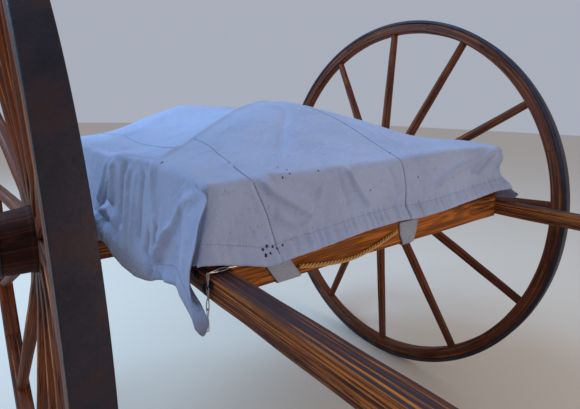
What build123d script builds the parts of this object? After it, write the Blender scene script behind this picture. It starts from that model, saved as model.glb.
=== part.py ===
from build123d import *
import math
import os

# A two-wheeled horse cart with a shallow boarded box on two long shafts,
# and a canvas cover drawn down over the box and strapped to the front cross beam.
# Millimetres. +Z is up, the shaft tips point toward -Y, and "right" is the -X side.
# Every size below is given from the point on the ground under the middle of the axle.

# Wheels
WHEEL_RADIUS = 762.0
TYRE_WIDTH = 46.0
TYRE_THICKNESS = 10.0
FELLOE_DEPTH = 38.0
FELLOE_WIDTH = 43.0
FELLOE_COUNT = 6
FELLOE_JOINT = 0.8
FELLOE_JOINT_ANGLE = 45.0
RIM_SIDES = 72
SPOKE_COUNT = 12
WHEEL_TILT = 3.8
SPOKE_TURN = -3.0
WHEEL_DISH = 60.0
RIM_X = 716.0
NAVE_RADIUS = 84.0
NAVE_INNER_LENGTH = 95.0
NAVE_OUTER_LENGTH = 147.0
NAVE_SIDES = 36
NAVE_BORE_RADIUS = 34.0
NAVE_BAND_THICKNESS = 4.0

# Axle: a square iron let into the top of a timber bed
ARM_RADIUS = 24.0
ARM_CLEARANCE = 0.08
ARM_THREAD_RADIUS = 17.0
COLLAR_RADIUS = 36.0
COLLAR_LENGTH = 14.0
AXLE_IRON_SIZE = 40.0
AXLE_BED_WIDTH = 96.0
AXLE_BED_BOTTOM = 688.0
AXLE_BED_END = 543.0

# Shafts, the long side timbers
SHAFT_INNER_X = 476.0
SHAFT_WIDTH = 40.0
SHAFT_HEIGHT = 42.0
SHAFT_BOTTOM = 785.0
SHAFT_TAIL_Y = 700.0
SHAFT_TIP_Y = -2560.0
SHAFT_TIP_X = 350.0
SHAFT_TIP_RADIUS = 18.0
SHAFT_TIP_LENGTH = 150.0
SHAFT_TIP_CHAMFER = 7.0

# Cross timbers and the box
BEAM_WIDTH = 60.0
BEAM_BOTTOM = 780.0
BEAM_TOP = 844.0
FRONT_BEAM_Y = -596.0
REAR_BEAM_Y = 582.0
FLOOR_THICKNESS = 22.0
BOARD_THICKNESS = 22.0
BOX_HALF_WIDTH = 512.0
BOX_FRONT_Y = -612.0
BOX_REAR_Y = 612.0
BOX_TOP = 968.0

# Canvas cover
COVER_THICKNESS = 4.0
COVER_GAP = 1.0
SIDE_FLARE = 0.105
FRONT_FLARE = 0.22
COVER_LOWEST = 725.0
HEM_LEFT = 880.0
HEM_REAR = 850.0
FLAP_X = -530.0

# Prop legs under the shafts
PROP_Y = -1290.0
PROP_PIN_DROP = 30.0
PROP_PIN_RADIUS = 8.0
PROP_RAKE = 6.0
PROP_WIDTH = 32.0
PROP_DEPTH = 38.0

# Chain on the right shaft, in links of flat-sided wire
LINK_LENGTH = 22.0
LINK_WIDTH = 6.4
LINK_WIRE = 2.0
LINK_PITCH = 17.6
CHAIN_X = -522.0
CHAIN_Y = -633.0
EYE_Z = 812.0

# Worked-out places
TILT = math.radians(WHEEL_TILT)
WHEEL_Z = (WHEEL_RADIUS - TYRE_WIDTH / 2 * math.tan(TILT)) * math.cos(TILT)
SHAFT_TOP = SHAFT_BOTTOM + SHAFT_HEIGHT
SHAFT_OUTER_X = SHAFT_INNER_X + SHAFT_WIDTH
SHAFT_MIDDLE_X = SHAFT_INNER_X + SHAFT_WIDTH / 2
SHAFT_MIDDLE_Z = SHAFT_BOTTOM + SHAFT_HEIGHT / 2
FLOOR_TOP = BEAM_TOP + FLOOR_THICKNESS
RIM_INNER_RADIUS = WHEEL_RADIUS - TYRE_WIDTH * math.tan(TILT) - TYRE_THICKNESS - FELLOE_DEPTH
FELLOE_OUTER_RADIUS = RIM_INNER_RADIUS + FELLOE_DEPTH
NAVE_INNER_END = -WHEEL_DISH - NAVE_INNER_LENGTH
NAVE_OUTER_END = -WHEEL_DISH + NAVE_OUTER_LENGTH
SHOULDER = NAVE_INNER_END - 2.0
AXLE_IRON_Z = SHAFT_BOTTOM - 1 - AXLE_IRON_SIZE / 2
PROP_PIN_Z = SHAFT_BOTTOM - PROP_PIN_DROP

# The whole cart is moved so that its origin is under the middle of its length.
AXLE_Y = -(SHAFT_TIP_Y + WHEEL_RADIUS) / 2

SIDES = (("right", -1), ("left", 1))


def save(name, *solids):
    """Write the solids of one node, moved to the cart's own origin."""
    placed = [Pos(0, AXLE_Y, 0) * solid for solid in solids]
    shape = placed[0] if len(placed) == 1 else Compound(children=placed)
    export_step(shape, f"parts/{name}.step")


def block(x, y, z):
    """A box from the ranges (low, high) along X, Y and Z."""
    ranges = (x, y, z)
    sizes = [abs(high - low) for low, high in ranges]
    centre = [(low + high) / 2 for low, high in ranges]
    return Pos(*centre) * Box(*sizes)


def mirrored(solid):
    """The same piece on the other side of the cart."""
    return mirror(solid, about=Plane.YZ)


def wheel_place(side):
    """From the wheel's own frame (+X outward along its axle arm) to the cart."""
    turn = 0 if side > 0 else 180
    place = Pos(side * RIM_X, 0, WHEEL_Z) * Rot(0, side * WHEEL_TILT, 0)
    return place * Rot(0, 0, turn) * Rot(SPOKE_TURN, 0, 0)


def turned(points):
    """Turn a closed outline of (x, radius) points about the X axis."""
    outline = [(x, radius, 0) for x, radius in points]
    face = Face(Wire.make_polygon([Vector(*p) for p in outline], close=True))
    return revolve(face, Axis.X)


def along_x(shape):
    """Turn a shape made about Z so that it lies about X."""
    return Rot(0, 90, 0) * shape


def polyhedron(points, faces):
    """A closed solid from corner points and faces given as tuples of point numbers."""
    made = [Face(Wire.make_polygon([Vector(*points[i]) for i in face], close=True)) for face in faces]
    return Solid(Shell(made))


def faceted(outline, sides):
    """A solid of flat faces about the X axis, from (x, distance to the flats) points."""
    angles = [(index + 0.5) * 2 * math.pi / sides for index in range(sides)]
    corner = 1 / math.cos(math.pi / sides)
    return ringed([
        [(x, flat * corner * math.sin(angle), flat * corner * math.cos(angle)) for angle in angles]
        for x, flat in outline
    ])


def ringed(rings):
    """A closed solid of flat faces through rings of points, each ring having as many points."""
    count = len(rings[0])
    points = [point for ring in rings for point in ring]
    faces = [tuple(range(count)), tuple(range(len(points) - count, len(points)))]
    for row in range(len(rings) - 1):
        for index in range(count):
            a = row * count + index
            b = row * count + (index + 1) % count
            faces.append((a, b, b + count, a + count))
    return polyhedron(points, faces)


def tyre():
    """Iron band, its tread coned so that it stands flat on the ground."""
    half = TYRE_WIDTH / 2
    drop = TYRE_WIDTH * math.tan(TILT)
    return turned([
        (-half, FELLOE_OUTER_RADIUS),
        (half, FELLOE_OUTER_RADIUS),
        (half, WHEEL_RADIUS - drop),
        (-half, WHEEL_RADIUS),
    ])


def felloes():
    """The wooden rim, sawn in equal arcs with a fine joint between them."""
    half = FELLOE_WIDTH / 2
    outer_flat = FELLOE_OUTER_RADIUS * math.cos(math.pi / RIM_SIDES)
    ring = faceted([(-half, outer_flat), (half, outer_flat)], RIM_SIDES)
    ring = ring - faceted([(-half - 1, RIM_INNER_RADIUS), (half + 1, RIM_INNER_RADIUS)], RIM_SIDES)
    reach = WHEEL_RADIUS + 10
    cuts = []
    for index in range(FELLOE_COUNT):
        angle = FELLOE_JOINT_ANGLE + index * 360 / FELLOE_COUNT
        cut = Pos(0, 0, reach / 2) * Box(TYRE_WIDTH * 2, FELLOE_JOINT, reach)
        cuts.append(Rot(angle, 0, 0) * cut)
    return list((ring - cuts).solids())


def chamfered_section(width, depth, cut):
    """A rectangle with its four corners cut off, as (across, along) points."""
    w = width / 2
    d = depth / 2
    return [
        (w, d - cut), (w - cut, d), (cut - w, d), (-w, d - cut),
        (-w, cut - d), (cut - w, -d), (w - cut, -d), (w, cut - d),
    ]


def spokes():
    """Tapered spokes leaning outward by the wheel's dish."""
    # radius, size across the wheel's plane, size along the axle, corner cut
    stations = (
        (NAVE_RADIUS, 44.0, 48.0, 3.0),
        (NAVE_RADIUS + 110, 35.0, 42.0, 10.0),
        (RIM_INNER_RADIUS, 28.0, 31.0, 9.0),
    )
    rings = []
    for radius, across, along, cut in stations:
        lean = WHEEL_DISH * (RIM_INNER_RADIUS - radius) / (RIM_INNER_RADIUS - NAVE_RADIUS)
        rings.append([(b - lean, a, radius) for a, b in chamfered_section(across, along, cut)])
    spoke = ringed(rings)
    return [Rot(index * 360 / SPOKE_COUNT, 0, 0) * spoke for index in range(SPOKE_COUNT)]


# Nave bands: two ends along X from the wheel's middle plane, and the radius of their seat
NAVE_BANDS = (
    (NAVE_INNER_END, NAVE_INNER_END + 30, 66.0),
    (NAVE_OUTER_END - 52, NAVE_OUTER_END - 2, 74.0),
)


def nave():
    """Wooden hub: turned ends with a seat for each band, and a flat for each spoke's foot."""
    spoke_half = 27.0
    inner_low, inner_high, inner_seat = NAVE_BANDS[0]
    outer_low, _, outer_seat = NAVE_BANDS[1]
    inner = faceted([
        (inner_low, inner_seat), (inner_high, inner_seat), (-WHEEL_DISH - spoke_half, NAVE_RADIUS - 3),
    ], NAVE_SIDES)
    middle = faceted([
        (-WHEEL_DISH - spoke_half, NAVE_RADIUS), (-WHEEL_DISH + spoke_half, NAVE_RADIUS),
    ], SPOKE_COUNT)
    outer = faceted([
        (-WHEEL_DISH + spoke_half, NAVE_RADIUS - 1), (outer_low - 20, NAVE_RADIUS - 5),
        (outer_low, outer_seat), (NAVE_OUTER_END, outer_seat),
    ], NAVE_SIDES)
    bore = along_x(Cylinder(NAVE_BORE_RADIUS, 1000))
    return inner + middle + outer - bore


def nave_bands():
    """Iron bands driven onto the two ends of the nave."""
    rings = []
    for low, high, seat in NAVE_BANDS:
        outside = seat + NAVE_BAND_THICKNESS
        ring = faceted([(low, outside), (high, outside)], NAVE_SIDES)
        rings.append(ring - faceted([(low - 1, seat), (high + 1, seat)], NAVE_SIDES))
    return rings


def hub_box():
    """Cast iron sleeve in the nave that runs on the axle arm."""
    inside = ARM_RADIUS + ARM_CLEARANCE
    return turned([
        (NAVE_INNER_END, inside), (NAVE_INNER_END, NAVE_BORE_RADIUS),
        (NAVE_OUTER_END, NAVE_BORE_RADIUS), (NAVE_OUTER_END, inside),
    ])


def axle_iron():
    """Square iron bar with a collar and a round arm at each end, and the nut on each arm."""
    half = AXLE_IRON_SIZE / 2
    reach = RIM_X + SHOULDER - COLLAR_LENGTH + 4
    iron = block((-reach, reach), (-half, half), (AXLE_IRON_Z - half, AXLE_IRON_Z + half))
    thread_end = NAVE_OUTER_END + 36
    arm = turned([
        (SHOULDER - COLLAR_LENGTH, 0),
        (SHOULDER - COLLAR_LENGTH, COLLAR_RADIUS),
        (SHOULDER, COLLAR_RADIUS),
        (SHOULDER, ARM_RADIUS),
        (NAVE_OUTER_END, ARM_RADIUS),
        (NAVE_OUTER_END, ARM_THREAD_RADIUS),
        (thread_end, ARM_THREAD_RADIUS),
        (thread_end, 0),
    ])
    for _, side in SIDES:
        iron = iron + wheel_place(side) * arm
    nut = extrude(RegularPolygon(34, 6, major_radius=True), 28) - Cylinder(ARM_THREAD_RADIUS + 0.1, 100)
    nut = Pos(NAVE_OUTER_END + 3, 0, 0) * along_x(nut)
    return iron, [wheel_place(side) * nut for _, side in SIDES]


def axle_bed():
    """Timber bed that the iron is let into from above."""
    half = AXLE_BED_WIDTH / 2
    bed = block((-AXLE_BED_END, AXLE_BED_END), (-half, half), (AXLE_BED_BOTTOM, SHAFT_BOTTOM))
    bed = chamfer(bed.edges().filter_by(Axis.X), 5)
    groove_half = AXLE_IRON_SIZE / 2
    groove = block((-700, 700), (-groove_half, groove_half), (AXLE_IRON_Z - groove_half, 900))
    return bed - groove


# Shaft outline: place along Y, middle of the section along X, width, height, corner cut.
# Straight past the box, then bent in and tapered to an eight-sided neck behind the round tip.
NECK_SIZE = 1.8 * SHAFT_TIP_RADIUS
SHAFT_STATIONS = (
    (SHAFT_TAIL_Y, SHAFT_MIDDLE_X, SHAFT_WIDTH, SHAFT_HEIGHT, 4.0),
    (-1450.0, SHAFT_MIDDLE_X, SHAFT_WIDTH, SHAFT_HEIGHT, 4.0),
    (-1540.0, SHAFT_MIDDLE_X - 5, SHAFT_WIDTH, SHAFT_HEIGHT, 4.0),
    (-1660.0, SHAFT_MIDDLE_X - 21, SHAFT_WIDTH - 1, SHAFT_HEIGHT - 1, 4.5),
    (SHAFT_TIP_Y + SHAFT_TIP_LENGTH, SHAFT_TIP_X, NECK_SIZE, NECK_SIZE, 0.293 * NECK_SIZE),
)


def shaft(side):
    """One shaft, with a round tip for the harness."""
    body = ringed([
        [(side * x + a, y, SHAFT_MIDDLE_Z + b) for a, b in chamfered_section(width, height, cut)]
        for y, x, width, height, cut in SHAFT_STATIONS
    ])
    tip = Rot(90, 0, 0) * Cylinder(SHAFT_TIP_RADIUS, SHAFT_TIP_LENGTH)
    tip = chamfer(tip.edges().group_by(Axis.Y)[0], SHAFT_TIP_CHAMFER)
    return body + Pos(side * SHAFT_TIP_X, SHAFT_TIP_Y + SHAFT_TIP_LENGTH / 2, SHAFT_MIDDLE_Z) * tip


def cross_beams():
    """Front and rear beams between the shafts."""
    beams = []
    for y in (FRONT_BEAM_Y, REAR_BEAM_Y):
        half = BEAM_WIDTH / 2
        beam = block((-SHAFT_INNER_X, SHAFT_INNER_X), (y - half, y + half), (BEAM_BOTTOM, BEAM_TOP))
        beams.append(chamfer(beam.edges().filter_by(Axis.X), 4))
    return beams


def floor_bearers():
    """Lighter cross pieces that carry the middle of the floor."""
    return [
        block((-SHAFT_INNER_X, SHAFT_INNER_X), (y - 25, y + 25), (BEAM_TOP - 50, BEAM_TOP))
        for y in (-300.0, 0.0, 300.0)
    ]


def floor_boards():
    """Boards laid lengthwise on the beams."""
    count = 6
    gap = 4.0
    pitch = (2 * BOX_HALF_WIDTH - 2 * BOARD_THICKNESS) / count
    boards = []
    for index in range(count):
        low = -BOX_HALF_WIDTH + BOARD_THICKNESS + index * pitch + gap / 2
        boards.append(block(
            (low, low + pitch - gap),
            (BOX_FRONT_Y + BOARD_THICKNESS, BOX_REAR_Y - BOARD_THICKNESS),
            (BEAM_TOP, FLOOR_TOP),
        ))
    return boards


def box_boards():
    """Front board, tailboard and a side board, standing on the beams and shafts."""
    t = BOARD_THICKNESS
    w = BOX_HALF_WIDTH
    front = block((-w + t, w - t), (BOX_FRONT_Y, BOX_FRONT_Y + t), (BEAM_TOP, BOX_TOP))
    rear = block((-w + t, w - t), (BOX_REAR_Y - t, BOX_REAR_Y), (BEAM_TOP, BOX_TOP))
    side = block((w - t, w), (BOX_FRONT_Y, BOX_REAR_Y), (SHAFT_TOP, BOX_TOP))
    return front, rear, side


# Cover's top: corners as (side along X, side along Y, rise over the box), then the humps under
# the cloth as (x, y, z), in the order that TOP_FACES counts them
TOP_CORNERS = ((-1, -1, 2.0), (1, -1, 27.0), (1, 1, 14.0), (-1, 1, 0.0))
TOP_HUMPS = (
    (0, -50, 1130), (-40, 200, 1090), (-300, -250, 1056), (215, -280, 1066),
    (300, 250, 1058), (70, 443, 1094), (-180, 380, 1092), (-260, 60, 1050),
)
TOP_FACES = (
    (4, 5, 11), (4, 11, 10), (5, 12, 11), (5, 6, 12), (6, 13, 12), (6, 7, 13), (7, 14, 13),
    (7, 15, 14), (7, 4, 15), (4, 10, 15), (8, 10, 11), (8, 11, 12), (8, 12, 9), (9, 12, 13),
    (9, 13, 14), (9, 14, 15), (8, 9, 15), (8, 15, 10),
)


def cover_form(grow):
    """The space under the cover, grown outward by the given distance."""
    half_x = BOX_HALF_WIDTH + grow
    half_y = BOX_REAR_Y + grow
    top = BOX_TOP + grow
    side = SIDE_FLARE * (top - COVER_LOWEST)
    ahead = FRONT_FLARE * (top - COVER_LOWEST)
    hem = [
        (x * (half_x + side), y * half_y + (side if y > 0 else -ahead), COVER_LOWEST)
        for x, y, _ in TOP_CORNERS
    ]
    corners = [(x * half_x, y * half_y, top + rise) for x, y, rise in TOP_CORNERS]
    humps = [(x, y, z + grow) for x, y, z in TOP_HUMPS]
    faces = [(0, 1, 2, 3), *TOP_FACES]
    for a in range(4):
        b = (a + 1) % 4
        faces += [(a, b, b + 4), (a, b + 4, a + 4)]
    return polyhedron(hem + corners + humps, faces)


# Hem of the cover: along X and Z across the front, and along Y and Z on the right side,
# where one corner hangs down as a flap and the hem rides up over the axle bed
FRONT_HEM = (
    (FLAP_X, 856), (-473, 842), (-423, 826), (-346, 832), (-50, 850), (117, 850), (324, 865), (900, 900),
)
RIGHT_HEM = (
    (-900, 752), (-614, 752), (-567, 769), (-516, 785), (-408, 757), (-186, 736), (-108, 742),
    (-96, 800), (900, 800),
)


def cover():
    """Canvas cover: a low humped top with flared skirts that hang over the frame."""
    shell = cover_form(COVER_GAP + COVER_THICKNESS) - cover_form(COVER_GAP)
    far = 900.0
    under_front = Polygon((FLAP_X, 600), (far, 600), *reversed(FRONT_HEM), align=None)
    under_right = Polygon((-far, 600), (far, 600), *reversed(RIGHT_HEM), align=None)
    cuts = [
        Pos(0, -400, 0) * extrude(Plane.XZ * under_front, 600),
        Pos(FLAP_X + 60, 0, 0) * extrude(Plane.YZ * under_right, -500),
        block((500, far), (-far, far), (0, HEM_LEFT)),
        block((-far, far), (BOX_REAR_Y - 40, far), (0, HEM_REAR)),
    ]
    return shell - cuts


# Straps: middle along X under the beam, width, and how far the top leans toward the right side
STRAPS = (
    (-350.0, 56.0, 43.0),
    (2.0, 62.0, 0.0),
)


def straps():
    """Two canvas straps from inside the front hem round the front beam."""
    thick = 3.0
    gap = 0.4
    y_front = FRONT_BEAM_Y - BEAM_WIDTH / 2 - gap
    y_rear = FRONT_BEAM_Y + BEAM_WIDTH / 2 + gap
    low = BEAM_BOTTOM - gap
    strap_top = BEAM_TOP - 4
    made = []
    for x, width, lean in STRAPS:
        span = (x - width / 2, x + width / 2)
        outline = Polygon(
            (span[0], low - thick), (span[1], low - thick),
            (span[1] - lean, strap_top), (span[0] - lean, strap_top), align=None,
        )
        front = Pos(0, y_front, 0) * extrude(Plane.XZ * outline, thick)
        under = block(span, (y_front - thick, y_rear + thick), (low - thick, low))
        rear = block(span, (y_rear, y_rear + thick), (low - thick, BEAM_TOP - 8))
        made.append(front + under + rear)
    return made


ROPE_RADIUS = 4.5
ROPE_FRONT = FRONT_BEAM_Y - BEAM_WIDTH / 2 - ROPE_RADIUS - 0.8
ROPE_ROUTE = (
    (-332, ROPE_FRONT, 801),
    (-232, ROPE_FRONT - 1, 783),
    (-130, ROPE_FRONT - 1, 789),
    (-36, ROPE_FRONT, 818),
)


def rope():
    """Light manila line that ties the two straps together along the beam's face."""
    corners = [Vector(*p) for p in ROPE_ROUTE]
    radii = []
    for a, b, c in zip(corners, corners[1:], corners[2:]):
        half_turn = math.radians((b - a).get_angle(c - b)) / 2
        shorter = min((b - a).length, (c - b).length)
        radii.append(0.45 * shorter / math.tan(half_turn))
    print("rope radii", [round(r) for r in radii])
    path = FilletPolyline(*corners, radius=radii)
    section = Plane(path @ 0, z_dir=path % 0) * Circle(ROPE_RADIUS)
    tube = sweep(section, path=path)
    print("rope length", round(path.length, 1), "volume over section times length",
          round(tube.volume / (math.pi * ROPE_RADIUS ** 2 * path.length), 4))
    return tube


def chain_link(place, turn):
    """One link along Z, turned about its own length before it is placed."""
    def plate(width, length, cut, thick):
        corners = chamfered_section(width, length, cut)
        return extrude(Plane.XZ * Polygon(*corners, align=None), thick / 2, both=True)

    inside_width = LINK_WIDTH - 2 * LINK_WIRE
    inside_length = LINK_LENGTH - 2 * LINK_WIRE
    link = plate(LINK_WIDTH, LINK_LENGTH, 1.6, LINK_WIRE)
    link = link - plate(inside_width, inside_length, 0.3, LINK_WIRE * 2)
    return place * Rot(0, 0, turn) * link


def chain():
    """Short chain from an eye on the right shaft: four links hang, four go up over the shaft."""
    hang_top = EYE_Z - 1.5 - LINK_WIRE / 2
    rise_low = EYE_Z + 1.5 - LINK_WIRE / 2
    links = []
    for index in range(4):
        z = hang_top + LINK_WIRE - LINK_LENGTH / 2 - index * LINK_PITCH
        links.append(chain_link(Pos(CHAIN_X, CHAIN_Y, z), 90 - 90 * (index % 2)))
    links.append(chain_link(Pos(CHAIN_X, CHAIN_Y, rise_low + LINK_LENGTH / 2), 90))
    top_z = rise_low + LINK_LENGTH - LINK_WIRE / 2
    for index in range(3):
        x = CHAIN_X - LINK_WIRE / 2 - LINK_WIRE - 0.6 + LINK_LENGTH / 2 + index * LINK_PITCH
        place = Pos(x, CHAIN_Y, top_z) * Rot(0, 90, 0)
        links.append(chain_link(place, 90 * (index % 2)))
    return links


def chain_eye():
    """Iron eye on a small plate against the outer side of the right shaft."""
    outside = -CHAIN_X - SHAFT_OUTER_X
    ring_sides = 12
    inside = outside - 2.6
    ring = faceted([(-1, outside), (1, outside)], ring_sides)
    ring = Rot(0, 0, 90) * (ring - faceted([(-2, inside), (2, inside)], ring_sides))
    plate = block((outside - 1.2, outside), (-9, 9), (-9, 9))
    return Pos(CHAIN_X, CHAIN_Y, EYE_Z) * (ring + plate)


def prop_bracket():
    """Two iron cheeks under a shaft with a pin let into both, that carries one prop leg."""
    thick = 6.0
    half_length = 24.0
    low_end = PROP_PIN_Z - 18
    pieces = []
    for low, high in ((SHAFT_INNER_X - thick, SHAFT_INNER_X), (SHAFT_OUTER_X, SHAFT_OUTER_X + thick)):
        pieces.append(block((low, high), (-half_length, half_length), (low_end, SHAFT_TOP - 8)))
    pin = Pos(SHAFT_MIDDLE_X, 0, PROP_PIN_Z) * along_x(Cylinder(PROP_PIN_RADIUS, SHAFT_WIDTH + thick))
    joined = pieces[0] + pin + pieces[1]
    return Pos(0, PROP_Y, 0) * joined


def prop_leg():
    """Tapered leg with a round head, raked forward so that the load holds it on its stop."""
    head = PROP_DEPTH / 2
    length = (PROP_PIN_Z + 40) / math.cos(math.radians(PROP_RAKE))
    foot = PROP_DEPTH / 2 - 3
    outline = Plane.YZ * Polygon((-head, 0), (head, 0), (foot, -length), (-foot, -length), align=None)
    leg = extrude(outline, PROP_WIDTH / 2, both=True) + along_x(Cylinder(head, PROP_WIDTH))
    leg = leg - along_x(Cylinder(PROP_PIN_RADIUS + 0.08, 100))
    leg = Pos(SHAFT_MIDDLE_X, PROP_Y, PROP_PIN_Z) * Rot(-PROP_RAKE, 0, 0) * leg
    return leg - block((0, 1000), (-3000, 0), (-200, 0))


def build():
    """Make every node of the cart."""
    for name, side in SIDES:
        place = wheel_place(side)
        save(f"wheel_{name}_tyre", place * tyre())
        save(f"wheel_{name}_felloes", *[place * part for part in felloes()])
        save(f"wheel_{name}_spokes", *[place * part for part in spokes()])
        save(f"wheel_{name}_nave", place * nave())
        save(f"wheel_{name}_nave_bands", *[place * part for part in nave_bands()])
        save(f"wheel_{name}_hub_box", place * hub_box())
    iron, nuts = axle_iron()
    save("axle_iron", iron)
    save("axle_nuts", *nuts)
    save("axle_bed", axle_bed())
    save("shaft_left", shaft(1))
    save("shaft_right", shaft(-1))
    save("cross_beams", *cross_beams())
    save("floor_bearers", *floor_bearers())
    save("floor_boards", *floor_boards())
    front, rear, side_board = box_boards()
    save("box_front", front)
    save("box_tailboard", rear)
    save("box_side_left", side_board)
    save("box_side_right", mirrored(side_board))
    save("cover", cover())
    save("cover_straps", *straps())
    save("tie_rope", rope())
    save("chain", *chain())
    save("chain_eye", chain_eye())
    bracket = prop_bracket()
    leg = prop_leg()
    save("prop_bracket_left", bracket)
    save("prop_bracket_right", mirrored(bracket))
    save("prop_leg_left", leg)
    save("prop_leg_right", mirrored(leg))


os.makedirs("parts", exist_ok=True)
build()
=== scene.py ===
import math

import bmesh
import bpy
import numpy as np
from mathutils import Matrix, Vector


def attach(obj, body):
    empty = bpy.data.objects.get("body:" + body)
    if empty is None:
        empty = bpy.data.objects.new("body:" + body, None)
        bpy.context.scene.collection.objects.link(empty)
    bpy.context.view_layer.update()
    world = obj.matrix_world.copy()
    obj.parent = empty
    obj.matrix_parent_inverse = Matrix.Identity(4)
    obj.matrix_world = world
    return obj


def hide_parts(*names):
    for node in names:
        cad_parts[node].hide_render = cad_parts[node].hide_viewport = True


bl_info = {
    "name": "Covered Shaft Cart",
    "version": (1, 0, 0),
    "blender": (4, 5, 0),
    "location": "View3D > Sidebar > Cart",
    "description": "Dresses a two-wheeled shaft cart with oiled timber, iron and draped canvas",
    "category": "Object",
}

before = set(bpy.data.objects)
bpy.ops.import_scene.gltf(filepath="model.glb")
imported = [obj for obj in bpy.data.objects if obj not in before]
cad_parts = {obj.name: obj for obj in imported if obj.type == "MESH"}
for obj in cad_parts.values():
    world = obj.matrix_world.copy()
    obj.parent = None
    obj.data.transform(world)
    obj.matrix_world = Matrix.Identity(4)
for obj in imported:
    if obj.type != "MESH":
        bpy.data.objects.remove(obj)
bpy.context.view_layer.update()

# Sizes in metres. Every table and surface is in the axle's frame, which is the cart's frame with its
# origin under the axle, AXLE_Y behind the cart's middle
AXLE_Y = 0.899
TILT = math.radians(3.8)
SPOKE_TURN = math.radians(-3.0)
RIM_X = 0.716
WHEEL_RADIUS = 0.762
TYRE_WIDTH = 0.046
TYRE_DROP = TYRE_WIDTH * math.tan(TILT)
FELLOE_OUTER = WHEEL_RADIUS - TYRE_DROP - 0.010
FELLOE_INNER = FELLOE_OUTER - 0.038
WHEEL_Z = (WHEEL_RADIUS - TYRE_DROP / 2) * math.cos(TILT)
DISH = 0.060
NAVE_RADIUS = 0.084
NAVE_INNER, NAVE_OUTER = -DISH - 0.095, -DISH + 0.147
NAVE_BORE = 0.034
SIDES = (("right", -1), ("left", 1))
MERGE_DISTANCE = 2e-6


# Mesh making

class Surface:
    """Collects grids of points into one mesh. A grid is an array (rows, columns, 3)."""

    def __init__(self):
        self.points, self.faces, self.uvs, self.wear_and_shade = [], [], [], []
        self.count = 0

    def grids(self, points, uv, wear_and_shade=0.0):
        """Add like grids, as an array (grid, row, column, 3): each face joins point (i, j) to its
        neighbours (i+1, j), (i+1, j+1) and (i, j+1)."""
        shape = points.shape[:3]
        index = np.arange(math.prod(shape)).reshape(shape) + self.count
        quads = [index[:, :-1, :-1], index[:, 1:, :-1], index[:, 1:, 1:], index[:, :-1, 1:]]
        self.points.append(points.reshape(-1, 3))
        self.faces.append(np.stack(quads, -1).reshape(-1, 4))
        self.uvs.append(np.broadcast_to(uv, (*shape, 2)).reshape(-1, 2))
        self.wear_and_shade.append(np.broadcast_to(wear_and_shade, shape).ravel())
        self.count += index.size

    def grid(self, points, uv=None, wear_and_shade=0.0):
        """Add one grid. Its UV is the lengths along its rows and columns, unless it is given."""
        self.grids(points[None], arc_lengths(points) if uv is None else uv, wear_and_shade)

    def build(self, name, sharp=40.0, outward=True):
        """Make the object in the cart's frame, with doubles merged, so seams and poles are closed."""
        mesh = bpy.data.meshes.new(name)
        points = to_cart(np.concatenate(self.points))
        mesh.from_pydata(points.tolist(), [], np.concatenate(self.faces).tolist())
        corner = np.zeros(len(mesh.loops), np.int32)
        mesh.loops.foreach_get("vertex_index", corner)
        uv = np.concatenate(self.uvs)[corner]
        mesh.uv_layers.new(name="UVMap").data.foreach_set("uv", uv.astype(np.float32).ravel())
        attribute = mesh.attributes.new("wear_and_shade", "FLOAT", "POINT")
        attribute.data.foreach_set("value", np.concatenate(self.wear_and_shade).astype(np.float32))
        bm = bmesh.new()
        bm.from_mesh(mesh)
        bmesh.ops.remove_doubles(bm, verts=bm.verts, dist=MERGE_DISTANCE)
        if outward:
            bmesh.ops.recalc_face_normals(bm, faces=bm.faces)
        bm.to_mesh(mesh)
        bm.free()
        mesh.shade_smooth()
        mesh.set_sharp_from_angle(angle=math.radians(sharp))
        obj = bpy.data.objects.new(name, mesh)
        bpy.context.scene.collection.objects.link(obj)
        return obj

    def finish(self, name, look, body, slot, *nodes, thickness=None):
        """Build the piece, and give it its material, the body it rides on and the CAD nodes that it stands
        for.
        The slot is not used. A piece with a thickness is an open sheet, and Solidify makes it a wall."""
        if thickness is None:
            obj = self.build(name)
        else:
            obj = self.build(name, sharp=180.0, outward=False)
            shell = obj.modifiers.new("Thickness", "SOLIDIFY")
            shell.thickness = thickness
            shell.offset = 0.0
        obj.data.materials.append(material(look))
        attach(obj, body)
        if nodes:
            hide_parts(*nodes)
        return obj


def to_cart(points):
    """From the axle's frame to the cart's frame."""
    return np.asarray(points, float) + (0, AXLE_Y, 0)


def unit(vectors):
    """The vectors at length 1."""
    return vectors / np.linalg.norm(vectors, axis=-1, keepdims=True)


def run_lengths(points):
    """The length along a line of points up to each of them."""
    return np.concatenate([[0], np.cumsum(np.linalg.norm(np.diff(points, axis=0), axis=1))])


def at_lengths(wanted, lengths, points):
    """Points at the wanted lengths along a line, each coordinate interpolated."""
    return np.stack([np.interp(wanted, lengths, column) for column in points.T], -1)


def arc_lengths(points):
    """Lengths in metres along the two directions of a grid, as (down the rows, along a row)."""
    down = np.linalg.norm(np.diff(points, axis=0), axis=2).mean(1)
    across = np.linalg.norm(np.diff(points, axis=1), axis=2).max(0)
    u = np.concatenate([[0], np.cumsum(down)])
    v = np.concatenate([[0], np.cumsum(across)])
    return np.stack(np.broadcast_arrays(u[:, None], v[None, :]), -1)


def closed(rings):
    """Rings (..., n, m, 3) closed round, and capped at both ends by a ring shrunk to its middle."""
    rings = np.concatenate([rings, rings[..., :1, :]], axis=-2)
    ends = rings[..., [0, -1], :, :]
    middle = np.broadcast_to(ends[..., :-1, :].mean(-2, keepdims=True), ends.shape)
    return np.concatenate([middle[..., :1, :, :], rings, middle[..., 1:, :, :]], axis=-3)


def tube(path, side, up, radius, count):
    """A ring of count points round each point of a path: radius times cos and sin of the angle along
    the two directions given there."""
    angle = (np.arange(count) * 2 * np.pi / count)[:, None]
    across = np.cos(angle) * side[..., None, :] + np.sin(angle) * up[..., None, :]
    return path[..., None, :] + radius * across


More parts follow.
